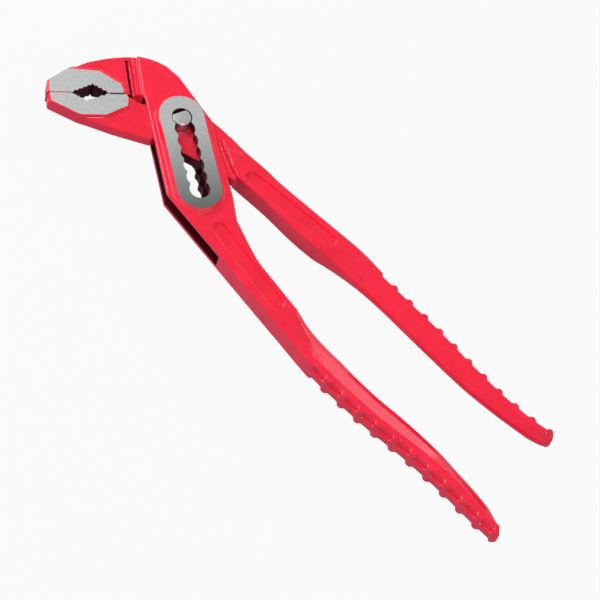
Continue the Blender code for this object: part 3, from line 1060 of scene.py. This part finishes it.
LOWER_HANDLE = Handle(
    name="lower_grip", axes=LOWER, reach=184.0, neck=68.5, turn=1,
    strip=[(0, 2.0), (84.0, 2.0), (94.0, 3.1), (130.0, 3.4), (155.0, 4.8), (168.0, 4.2), (176.0, 3.4),
           (184.0, 3.2)],
    outer=[(0, -0.4), (33.1, -0.5), (66.2, -0.6), (90.2, -0.6), (103.0, 0.7), (119.6, 3.2), (137.1, 6.9),
           (153.8, 9.5), (171.1, 11.3), (176.0, 12.0), (180.0, 12.5), (182.3, 13.1), (183.6, 13.9),
           (184.0, 14.7)],
    inner=[(36.4, 12.2), (43.2, 10.9), (50.0, 10.6), (58.0, 10.4), (66.0, 10.2), (72.0, 10.3),
           (77.0, 10.5), (82.0, 10.9), (88.3, 11.4), (95.0, 12.1), (103.2, 12.8), (114.4, 14.3),
           (123.8, 16.2), (134.9, 18.0), (145.7, 19.3), (153.8, 19.6), (161.0, 19.9), (167.3, 20.0),
           (172.5, 19.8), (176.5, 19.1), (179.5, 18.1), (181.8, 16.9), (183.3, 15.8), (184.0, 15.0)],
    pocket_start=94.0, pocket_pitch=8.48, label_ends=((20.3, 7.3), (64.7, 5.0)))
UPPER_HANDLE = Handle(
    name="upper_grip", axes=UPPER, reach=192.4, neck=76.0, ramp=16.0, fall=30.0, turn=-1, tip=4.0,
    tip_share=0.6, bend_run=0.5, strip=[(0, 3.2), (192.0, 3.2)],
    outer=[(18.6, 8.2), (22.5, 7.7), (28.0, 6.9), (38.4, 6.3), (48.0, 5.2), (73.5, 4.1),
           (88.1, 3.4), (100.8, 1.4), (116.4, -0.5), (133.1, -2.6), (149.6, -5.4), (166.1, -7.7),
           (177.6, -8.4), (184.0, -8.3), (187.5, -8.0), (189.5, -7.6), (190.8, -7.8), (191.7, -8.6),
           (192.2, -9.6), (192.4, -10.5)],
    inner=[(31.7, -4.7), (48.6, -5.8), (65.3, -7.8), (82.0, -8.2), (90.5, -8.5), (99.3, -9.0),
           (112.0, -10.2), (124.8, -11.9), (150.9, -15.0), (167.0, -15.6), (181.1, -15.2),
           (185.0, -14.9), (188.0, -14.3), (190.2, -13.6), (191.6, -12.6), (192.2, -11.8),
           (192.4, -11.1)],
    pocket_start=104.2, pocket_pitch=8.17, label_ends=((34.0, -0.8), (80.0, -1.8)))


# A jaw face's lacquered rim lies a little lower than the ground face and slopes down to the jaw
RIM_DROP = 0.14
RIM_SLOPE = 0.6
FACE_SLOPE = 0.5


def jaw_face(points: list[tuple[float, float]], low: float, half: float,
             spread: float = 1.7) -> list[Solid]:
    """Makes the raised part of a jaw: a lacquered rim and the face that is ground off inside it.

    Args:
        points: The ground face's outline on the jaw.
        low: A distance from the middle inside the jaw.
        half: The ground face's distance from the middle.
        spread: How far the rim reaches past the face.

    Returns:
        The two solids.
    """
    outline = JAW.line(points)
    rim = slab("rim", grown(outline, spread), -low, low, RIM_SLOPE, half - RIM_DROP - low)
    face = slab("face", grown(outline, FACE_SLOPE), -low, low, FACE_SLOPE, half + PROUD - low)
    return [rim, face]


class Dresser:
    """Chooses which faces of a finished arm show lacquer, bare steel or a dark lacquer that paints shade.
    """

    flatness = 0.995
    level_slack = 0.02

    def __init__(self, shop: Workshop, solid: Solid) -> None:
        """Gives the solid its three finishes and reads where its faces lie.

        Args:
            shop: The workshop, which holds the finishes.
            solid: The finished arm.
        """
        mesh = solid.data
        mesh.materials.clear()
        materials = {Finish.LACQUER: shop.lacquer, Finish.GROUND: shop.ground,
                     Finish.SHADED: shop.painted_shade_finish}
        for finish in Finish:
            mesh.materials.append(materials[finish])
        self.mesh = mesh
        self.slots = np.zeros(len(mesh.polygons), dtype=np.int32)
        self.normals = np.empty(len(mesh.polygons) * 3)
        self.centres = np.empty(len(mesh.polygons) * 3)
        mesh.polygons.foreach_get("normal", self.normals)
        mesh.polygons.foreach_get("center", self.centres)
        self.heights = np.abs(self.centres[2::3])

    def shade(self, outline: list[Vector], low: float, high: float) -> None:
        """Paints shade: gives the dark lacquer to the faces inside an outline, between two distances from
        the middle.

        Args:
            outline: The outline in plan.
            low: The smaller distance.
            high: The larger distance.
        """
        x, y = self.centres[0::3], self.centres[1::3]
        inside = np.zeros(len(x), dtype=bool)
        for start, end in zip(outline, outline[1:] + outline[:1]):
            if start.y != end.y:
                reach = start.x + (y - start.y) * (end.x - start.x) / (end.y - start.y)
                inside ^= ((start.y > y) != (end.y > y)) & (x < reach)
        self.slots[inside & (self.heights > low) & (self.heights < high)] = Finish.SHADED.value

    def grind(self, levels: tuple[float, ...]) -> None:
        """Gives bare steel to the flat faces that lie at certain distances from the middle.

        Args:
            levels: The distances.
        """
        flat = np.abs(self.normals[2::3]) > self.flatness
        for level in levels:
            near = np.abs(self.heights - level) < self.level_slack
            self.slots[flat & near] = Finish.GROUND.value

    def apply(self) -> None:
        """Writes the choice into the mesh and shades the ground faces flat, as a grinder leaves them."""
        self.mesh.polygons.foreach_set("material_index", self.slots)
        self.mesh.polygons.foreach_set("use_smooth", self.slots != Finish.GROUND.value)


@dataclass
class OuterArm:
    """The arm with the upper jaw, the notched box and the lower handle."""

    shop: Workshop
    handle: Handle
    plate_half: float = 3.2
    ledge_half: float = 3.4
    box_half: float = 4.9
    box_edge: float = 0.45
    face_half: float = 3.9
    boss_half: float = 7.0
    boss_radius: float = 8.9
    boss_slope: float = 1.3
    boss_lead: float = 1.0
    blade_room: float = 2.9
    notch_count: int = 7
    notch_pitch: float = 5.65
    notch_radius: float = 4.1
    slot_neck: float = 6.65
    groove_half: float = 1.7
    groove_brim: float = 3.3
    groove_slope: float = 0.8
    grind_radius: float = 15.0
    grind_spread: float = 2.0
    mouth_peak: tuple[float, float] = (-33.8, 4.6)
    rim_drop: float = 0.3
    rim_slope: float = 0.4
    # How far the painted shade spreads past the passage and the notches, and how far short of the faces it
    # stops
    window_shade_past: tuple[float, float] = (0.3, 0.2)
    notch_shade_past: tuple[float, float] = (0.2, 0.5)
    notch_shade_short: float = 0.05
    mouth_shade_short: float = 0.4
    groove_shade_short: float = 0.25
    triangles: int = 190000
    head: list[tuple[float, float]] = field(default_factory=lambda: [
        (-51.8, 0.2), (-51.7, 5.6), (-43.0, 11.9), (-39.8, 12.9), (-35.0, 15.2), (-27.3, 17.3),
        (-19.5, 18.4), (-14.0, 18.2), (-8.0, 2.0), (-15.6, 0.2)])
    ledge: list[tuple[float, float]] = field(default_factory=lambda: [
        (-17.9, 17.5), (-16.5, 1.8), (-16.4, 0.2), (-8.0, -2.0), (-8.0, 15.0), (-14.7, 18.0)])
    groove: list[tuple[float, float]] = field(default_factory=lambda: [
        (-20.2, 17.3), (-19.2, -2.0), (-16.4, -2.0), (-17.3, 17.3)])
    box_top: list[tuple[float, float]] = field(default_factory=lambda: [
        (-15.2, 18.1), (-10.2, 16.9), (-6.9, 15.5), (-3.5, 13.4), (1.0, 8.5)])
    box_right: list[tuple[float, float]] = field(default_factory=lambda: [
        (1.2, 12.3), (13.6, 12.1), (25.4, 12.8), (37.0, 13.1), (48.1, 12.3)])
    box_left: list[tuple[float, float]] = field(default_factory=lambda: [(32.6, -12.5), (-12.0, -12.1)])
    box_corner: tuple[float, float] = (-14.2, -0.4)
    window_radius: float = 17.9
    window_arc: tuple[float, float] = (188.0, 126.0)
    window_right: list[tuple[float, float]] = field(default_factory=lambda: [
        (-19.7, 17.9), (33.2, 28.6)])
    window_end: list[tuple[float, float]] = field(default_factory=lambda: [
        (41.7, 17.9), (33.8, 2.0), (31.8, -2.0)])
    window_left: list[tuple[float, float]] = field(default_factory=lambda: [
        (33.2, -18.0), (0, -18.0), (-12.0, -14.4)])
    beyond: list[tuple[float, float]] = field(default_factory=lambda: [
        (-27.3, 24.0), (-60.0, 24.0), (-60.0, 0.2)])
    face: list[tuple[float, float]] = field(default_factory=lambda: [
        (-50.8, -0.57), (-22.4, -0.57), (-21.8, 1.36), (-22.6, 4.6), (-24.4, 5.7), (-30.9, 10.5),
        (-43.2, 11.3), (-50.7, 5.8)])
    # Outlines of the painted shade in the mouth and in the groove
    mouth_shade: list[tuple[float, float]] = field(default_factory=lambda: [
        (-50.0, -1.0), (-50.0, 0.3), (-43.0, 0.4), (-33.8, 4.9), (-27.0, 0.4), (-17.6, 0.4),
        (-17.6, -1.0)])
    groove_shade: list[tuple[float, float]] = field(default_factory=lambda: [
        (-20.2, 16.9), (-19.2, -2.0), (-17.9, -2.0), (-18.8, 16.9)])

    @property
    def last(self) -> float:
        """Where the last notch lies along the slot."""
        return self.notch_pitch * (self.notch_count - 1)

    def bodies(self) -> list[Solid]:
        """Makes the overlapping solids that the arm is fused from.

        Returns:
            The plate, ledge, box, jaw face, boss and grip.
        """
        plate = slab("plate", JAW.line(self.head), -self.plate_half, self.plate_half)
        ledge = slab("ledge", JAW.line(self.ledge), -self.ledge_half, self.ledge_half)
        inner, outer = self.handle.neck_outline(0, self.handle.neck)
        left = SLOT.line(self.box_left) + [JAW.at(*self.box_corner)]
        outline = JAW.line(self.box_top) + SLOT.line(self.box_right) + inner + outer[::-1] + left
        wall = self.box_half - self.box_edge
        box = slab("box", outline, -wall, wall, self.box_edge, self.box_edge)
        low = self.plate_half - SINK
        return [plate, ledge, box, *jaw_face(self.face, low, self.face_half), self.boss(),
                self.handle.body()]

    def boss(self) -> Solid:
        """Makes the ring that stands round the notches on both faces of the box.

        Returns:
            The boss, still proud of its ground faces.
        """
        low = self.box_half - SINK
        rise = self.boss_half - self.box_half
        run = self.boss_slope * (rise + SINK + PROUD) / rise
        rim = self.boss_radius + self.boss_slope * (rise + SINK) / rise
        outline = stadium(SLOT.at(-self.boss_lead, 0), SLOT.at(self.last, 0), rim)
        return slab("boss", outline, -low, low, run, rise + SINK + PROUD)

    def slot(self) -> Solid:
        """Makes the tool of the scalloped slot: a round notch at each step and a straight neck.

        Returns:
            The tool.
        """
        notch = slab("notch", circle(self.notch_radius), -THROUGH, THROUGH)
        notches = self.shop.rows.lay("notches", [SLOT.at(0, 0), SLOT.at(self.last, 0)], notch,
                                     self.notch_count, self.shop.lacquer)
        half = self.slot_neck / 2
        corners = [(0, -half), (self.last, -half), (self.last, half), (0, half)]
        neck = slab("neck", SLOT.line(corners), -THROUGH, THROUGH)
        return combine(notches, [neck], Cut.JOIN, "EXACT")

    def passage(self) -> list[Vector]:
        """Gives the outline of the passage that the blade runs in.

        Returns:
            The outline's points.
        """
        upper = arc(Vector((0, 0)), self.window_radius, *self.window_arc, 40)
        return (upper + SLOT.line(self.window_right) + LOWER.line(self.window_end)
                + SLOT.line(self.window_left))

    def soft_tools(self) -> list[Solid]:
        """Makes the tools of what is forged into the arm: passage, groove, recess and pockets.

        Returns:
            The tools.
        """
        window = slab("window", self.passage(), -self.blade_room, self.blade_room)
        tools = [window, self.handle.label(), self.handle.pockets(self.shop)]
        for face in Face:
            levels = sorted((face.value * self.groove_brim, face.value * THROUGH))
            tools.append(slab("groove", JAW.line(self.groove), *levels, self.groove_slope,
                              self.groove_brim - self.groove_half))
        rim = (self.face_half - self.rim_drop, self.rim_slope)
        return tools + rim_tools(JAW.line(self.head[:6] + self.beyond), dict.fromkeys(Face, rim))

    def ground_tools(self) -> list[Solid]:
        """Makes the tools that grind the boss and the jaw face flat.

        Returns:
            The tools.
        """
        tools = []
        around = stadium(SLOT.at(-self.boss_lead, 0), SLOT.at(self.last, 0), self.grind_radius)
        jaw = grown(JAW.line(self.face), self.grind_spread)
        for face in Face:
            for outline, level in ((around, self.boss_half), (jaw, self.face_half)):
                levels = sorted((face.value * level, face.value * GRIND_REACH))
                tools.append(slab("grind", outline, *levels))
        return tools

    def build(self) -> None:
        """Makes the whole arm."""
        smith = self.shop.smith
        arm = smith.forge("outer_arm_forging", self.bodies(), self.soft_tools())
        mouth = Mouth(Side.UPPER, self.mouth_peak)
        combine(arm, [*self.ground_tools(), self.slot(), mouth.tool()], Cut.REMOVE)
        smith.thin(arm, self.triangles)
        dresser = Dresser(self.shop, arm)
        # Painted shade in the passage, round the notches, in the mouth and in the groove
        spread, past = self.window_shade_past
        dresser.shade(grown(self.passage(), spread), 0.0, self.blade_room + past)
        spread, past = self.notch_shade_past
        around = stadium(SLOT.at(0, 0), SLOT.at(self.last, 0), self.notch_radius + spread)
        dresser.shade(around, self.blade_room - past, self.boss_half - self.notch_shade_short)
        for outline, short in ((self.mouth_shade, self.mouth_shade_short),
                               (self.groove_shade, self.groove_shade_short)):
            dresser.shade(JAW.line(outline), 0.0, self.plate_half - short)
        dresser.grind((self.boss_half, self.face_half))
        dresser.apply()
        self.shop.hand_over(arm, "outer_arm", "outer_arm")


@dataclass
class InnerArm:
    """The arm with the lower jaw, the blade inside the box and the upper handle."""

    shop: Workshop
    handle: Handle
    blade_half: float = 2.6
    blade_edge: float = 0.4
    face_half: float = 3.9
    bar_half: float = 4.9
    bar_edge: float = 0.6
    pad_half: float = 5.6
    pad_foot: float = 4.6
    pad_slope: float = 0.9
    hub_radius: float = 11.4
    hub_arc: tuple[float, float] = (62.0, 168.0)
    bore_radius: float = 4.1
    rim_spread: float = 1.0
    grind_spread: float = 2.0
    mouth_peak: tuple[float, float] = (-36.8, 4.0)
    # Where the painted shade lies under the slot and in the mouth, and how far short of the faces it stops
    slot_shade: tuple[float, float] = (-2.0, 34.0)
    slot_shade_radius: float = 8.0
    slot_shade_short: float = 0.02
    mouth_shade_short: float = 0.1
    front_rim: tuple[float, float] = (0.4, 0.5)
    back_rim: tuple[float, float] = (0.2, 1.6)
    triangles: int = 180000
    chin: list[tuple[float, float]] = field(default_factory=lambda: [
        (-51.8, -0.2), (-51.8, -3.9), (-40.5, -10.2), (-26.4, -15.8), (-12.7, -20.2), (-10.4, -19.9)])
    heel: list[tuple[float, float]] = field(default_factory=lambda: [
        (-13.6, -3.6), (-16.1, -2.8), (-18.2, -0.8), (-20.3, -0.2)])
    foot: list[tuple[float, float]] = field(default_factory=lambda: [
        (-2.6, -12.3), (9.2, -10.8), (19.5, -8.4), (32.2, -5.5), (35.7, -2.0)])
    top: list[tuple[float, float]] = field(default_factory=lambda: [
        (36.0, 1.8), (27.4, 5.5), (19.5, 9.2), (14.3, 9.9), (8.0, 10.2)])
    pad: list[tuple[float, float]] = field(default_factory=lambda: [
        (20.3, 1.9), (21.5, 3.1), (26.5, 5.0), (28.4, 4.8), (29.2, -3.5)])
    flare: list[tuple[float, float]] = field(default_factory=lambda: [
        (10.6, 14.2), (14.0, 14.3), (27.5, 16.4)])
    beyond: list[tuple[float, float]] = field(default_factory=lambda: [
        (-26.4, -24.0), (-60.0, -24.0), (-60.0, -0.2)])
    face: list[tuple[float, float]] = field(default_factory=lambda: [
        (-50.8, 0.57), (-50.7, -0.45), (-50.2, -4.4), (-40.8, -10.2), (-29.3, -10.0), (-20.6, -5.4),
        (-20.1, -1.7), (-21.3, 0.57)])
    # Outline of the painted shade in the mouth
    mouth_shade: list[tuple[float, float]] = field(default_factory=lambda: [
        (-50.0, 1.0), (-50.0, -0.3), (-43.0, -0.4), (-36.8, -4.4), (-27.0, -0.4), (-20.0, -0.4),
        (-20.0, 1.0)])

    def bodies(self) -> list[Solid]:
        """Makes the overlapping solids that the arm is fused from.

        Returns:
            The blade, jaw face, bar, pad and grip.
        """
        hub = arc(Vector((0, 0)), self.hub_radius, *self.hub_arc, 40)
        outline = (JAW.line(self.chin) + UPPER.line(self.foot) + UPPER.line(self.top) + hub
                   + JAW.line(self.heel))
        wall = self.blade_half - self.blade_edge
        blade = slab("blade", outline, -wall, wall, self.blade_edge, self.blade_edge)
        low = self.blade_half - SINK
        inner, outer = self.handle.neck_outline(0, self.handle.neck)
        outline = SLOT.line(self.flare) + inner + outer[::-1]
        wall = self.bar_half - self.bar_edge
        bar = slab("bar", outline, -wall, wall, self.bar_edge, self.bar_edge)
        pad = slab("pad", UPPER.line(self.pad), -self.pad_foot, self.pad_foot, self.pad_slope,
                   self.pad_half - self.pad_foot)
        return [blade, *jaw_face(self.face, low, self.face_half, self.rim_spread), bar, pad,
                self.handle.body()]

    def build(self) -> None:
        """Makes the whole arm."""
        smith = self.shop.smith
        rims = {Face.FRONT: (self.face_half - self.front_rim[0], self.front_rim[1]),
                Face.BACK: (self.blade_half - self.back_rim[0], self.back_rim[1])}
        soft = [self.handle.label(), self.handle.pockets(self.shop),
                *rim_tools(JAW.line(self.chin[:4] + self.beyond), rims)]
        arm = smith.forge("inner_arm_forging", self.bodies(), soft)
        jaw = grown(JAW.line(self.face), self.grind_spread)
        tools = [slab("grind", jaw, *sorted((face.value * self.face_half, face.value * GRIND_REACH)))
                 for face in Face]
        tools.append(Mouth(Side.LOWER, self.mouth_peak).tool())
        tools.append(slab("bore", circle(self.bore_radius), -THROUGH, THROUGH))
        combine(arm, tools, Cut.REMOVE)
        smith.thin(arm, self.triangles)
        dresser = Dresser(self.shop, arm)
        # Painted shade on the blade under the slot and in the mouth
        ends = (SLOT.at(along, 0) for along in self.slot_shade)
        dresser.shade(stadium(*ends, self.slot_shade_radius), 0.0, self.blade_half - self.slot_shade_short)
        dresser.shade(JAW.line(self.mouth_shade), 0.0, self.face_half - self.mouth_shade_short)
        dresser.grind((self.face_half,))
        dresser.apply()
        self.shop.hand_over(arm, "inner_arm", "inner_arm")


@dataclass
class PivotPin:
    """The steel pin, with the flat that lets it step from notch to notch."""

    shop: Workshop
    radius: float = 3.8
    flat: float = 2.45
    half: float = 7.0
    chamfer: float = 0.3
    heading: float = 66.0
    softness: float = 0.12

    def build(self) -> None:
        """Makes the pin."""
        opening = math.degrees(math.acos(self.flat / self.radius))
        outline = arc(Vector((0, 0)), self.radius, self.heading + 90 + opening,
                      self.heading + 450 - opening, 96)
        wall = self.half - self.chamfer
        pin = slab("pivot_pin_steel", outline, -wall, wall, self.chamfer, self.chamfer)
        bevel = pin.modifiers.new("soft_edge", "BEVEL")
        bevel.width = self.softness
        bevel.segments = 3
        bevel.limit_method = "ANGLE"
        bevel.angle_limit = math.radians(25)
        settle(pin)
        pin.data.shade_smooth()
        pin.data.set_sharp_from_angle(angle=SHARP_EDGE)
        pin.data.materials.append(self.shop.pin_steel)
        self.shop.hand_over(pin, "pivot_pin", "pivot_pin")


@dataclass(frozen=True)
class Lamp:
    """A soft rectangular lamp that faces the tool.

    It stands at an azimuth, from -Y towards +X, and an elevation above the floor, in degrees. Its reach
    is its distance from the tool and its size its width and height, in metres. Its power is in watts.
    """

    name: str
    azimuth: float
    elevation: float
    reach: float
    size: tuple[float, float]
    power: float


@dataclass
class Studio:
    """The floor, the daylight, the lamps and the camera."""

    target: Vector = field(default_factory=lambda: Vector((0.08389, -0.02883, 0.007)))
    distance: float = 1.1
    azimuth: float = 20.0
    elevation: float = 56.5
    roll: float = 21.1
    lens: float = 172.26
    sensor: float = 36.0
    overhead: float = 0.38
    horizon: float = 0.95
    floor_glow: float = 0.93
    floor_shine: float = 0.15
    floor_size: float = 12.0
    floor_depth: float = 0.02
    floor_tones: tuple[tuple[float, float, float], ...] = ((0.30, 0.34, 0.46), (0.32, 0.36, 0.48))
    lamps: tuple[Lamp, ...] = (
        Lamp("fill", -92.0, 42.0, 0.9, (0.5, 0.5), 3.3),
        Lamp("key", 50.0, 53.0, 1.2, (0.22, 0.18), 4.9),
        Lamp("backdrop", 180.0, 21.0, 1.6, (2.0, 0.45), 4.6),
        Lamp("side", -74.0, 13.0, 1.6, (1.4, 0.25), 6.5))

    def aimed(self, spot: Vector, target: Vector) -> Matrix:
        """Gives the place of a lamp or camera that looks from a spot to a target."""
        return Matrix.Translation(spot) @ (target - spot).to_track_quat("-Z", "Y").to_matrix().to_4x4()

    def direction(self, azimuth: float, elevation: float) -> Vector:
        """Gives the direction towards an azimuth, from -Y towards +X, and an elevation."""
        turn, tilt = math.radians(azimuth), math.radians(elevation)
        return Vector((math.sin(turn) * math.cos(tilt), -math.cos(turn) * math.cos(tilt), math.sin(tilt)))

    def camera(self) -> None:
        """Sets up the camera at the photograph's angle."""
        data = bpy.data.cameras.new("camera")
        data.sensor_width = self.sensor
        data.lens = self.lens
        data.clip_end = 20.0
        camera = bpy.data.objects.new("camera", data)
        spot = self.target + self.distance * self.direction(self.azimuth, self.elevation)
        turned = Matrix.Rotation(math.radians(self.roll), 4, "Z")
        camera.matrix_world = self.aimed(spot, self.target) @ turned
        bpy.context.scene.collection.objects.link(camera)
        bpy.context.scene.camera = camera

    def hang(self, lamp: Lamp) -> None:
        """Adds a lamp to the scene.

        Args:
            lamp: The lamp to hang.
        """
        data = bpy.data.lights.new(lamp.name, "AREA")
        data.shape = "RECTANGLE"
        data.size, data.size_y = lamp.size
        data.energy = lamp.power
        hung = bpy.data.objects.new(lamp.name, data)
        spot = self.target + lamp.reach * self.direction(lamp.azimuth, lamp.elevation)
        hung.matrix_world = self.aimed(spot, self.target)
        bpy.context.scene.collection.objects.link(hung)

    def sky(self) -> None:
        """Sets up plain, even daylight."""
        world = bpy.data.worlds.new("daylight")
        world.use_nodes = True
        tree = world.node_tree
        place = tree.nodes.new("ShaderNodeTexCoord")
        parts = add_node(tree, "ShaderNodeSeparateXYZ", {0: place.outputs["Generated"]})
        strength = add_node(tree, "ShaderNodeMapRange",
                            {"Value": parts.outputs["Z"], "From Min": 0.08, "From Max": 0.38,
                             "To Min": self.horizon, "To Max": self.overhead})
        tree.links.new(strength.outputs[0], tree.nodes["Background"].inputs["Strength"])
        tree.nodes["Background"].inputs["Color"].default_value = (1, 1, 1, 1)
        bpy.context.scene.world = world

    def floor(self) -> None:
        """Lays a white floor that keeps the tool's shadow."""
        half = self.floor_size / 2
        outline = [Vector((x * half, y * half)) for x, y in ((-1, -1), (1, -1), (1, 1), (-1, 1))]
        floor = slab("floor", outline, -self.floor_depth, 0.0)
        material, tree, shader, place = start_material("floor_white")
        mottle = add_node(tree, "ShaderNodeTexNoise", {"Vector": place, "Scale": 30.0})
        white = mix_colours(tree, mottle.outputs["Fac"], *self.floor_tones)
        tree.links.new(white, shader.inputs["Base Color"])
        shader.inputs["Roughness"].default_value = 0.9
        shader.inputs["Specular IOR Level"].default_value = 0.0
        seen = tree.nodes.new("ShaderNodeLightPath")
        direct = add_node(tree, "ShaderNodeMath",
                          {0: seen.outputs["Is Camera Ray"], 1: seen.outputs["Is Transmission Ray"]},
                          operation="MAXIMUM")
        bright = add_node(tree, "ShaderNodeMath", {0: direct.outputs[0], 1: self.floor_glow},
                          operation="MULTIPLY")
        shine = add_node(tree, "ShaderNodeMath", {0: seen.outputs["Is Glossy Ray"], 1: self.floor_shine},
                         operation="MULTIPLY")
        share = add_node(tree, "ShaderNodeMath", {0: bright.outputs[0], 1: shine.outputs[0]},
                         operation="MAXIMUM")
        glow = add_node(tree, "ShaderNodeEmission", {"Color": (1, 1, 1, 1), "Strength": 1.0})
        blend = add_node(tree, "ShaderNodeMixShader", {0: share.outputs[0], 1: shader.outputs[0],
                                                       2: glow.outputs[0]})
        tree.links.new(blend.outputs[0], tree.nodes["Material Output"].inputs["Surface"])
        floor.data.materials.append(material)

    def build(self) -> None:
        """Sets up everything round the tool."""
        self.camera()
        self.sky()
        self.floor()
        for lamp in self.lamps:
            self.hang(lamp)
        bpy.context.scene.view_settings.view_transform = "Standard"


def main() -> None:
    """Dresses the whole tool."""
    logging.basicConfig(level=logging.INFO, format="%(message)s")
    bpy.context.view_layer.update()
    low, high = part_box("pivot_pin")
    effects = SurfaceEffects()
    shop = Workshop(RED_LACQUER.make(effects), PAINTED_SHADE_LACQUER.make(effects), GROUND_FACES.make(effects),
                    PIN_STEEL.make(effects), middle=(low[2] + high[2]) / 2)
    Studio().build()
    OuterArm(shop, LOWER_HANDLE).build()
    InnerArm(shop, UPPER_HANDLE).build()
    PivotPin(shop).build()


if __name__ == "__main__":
    main()
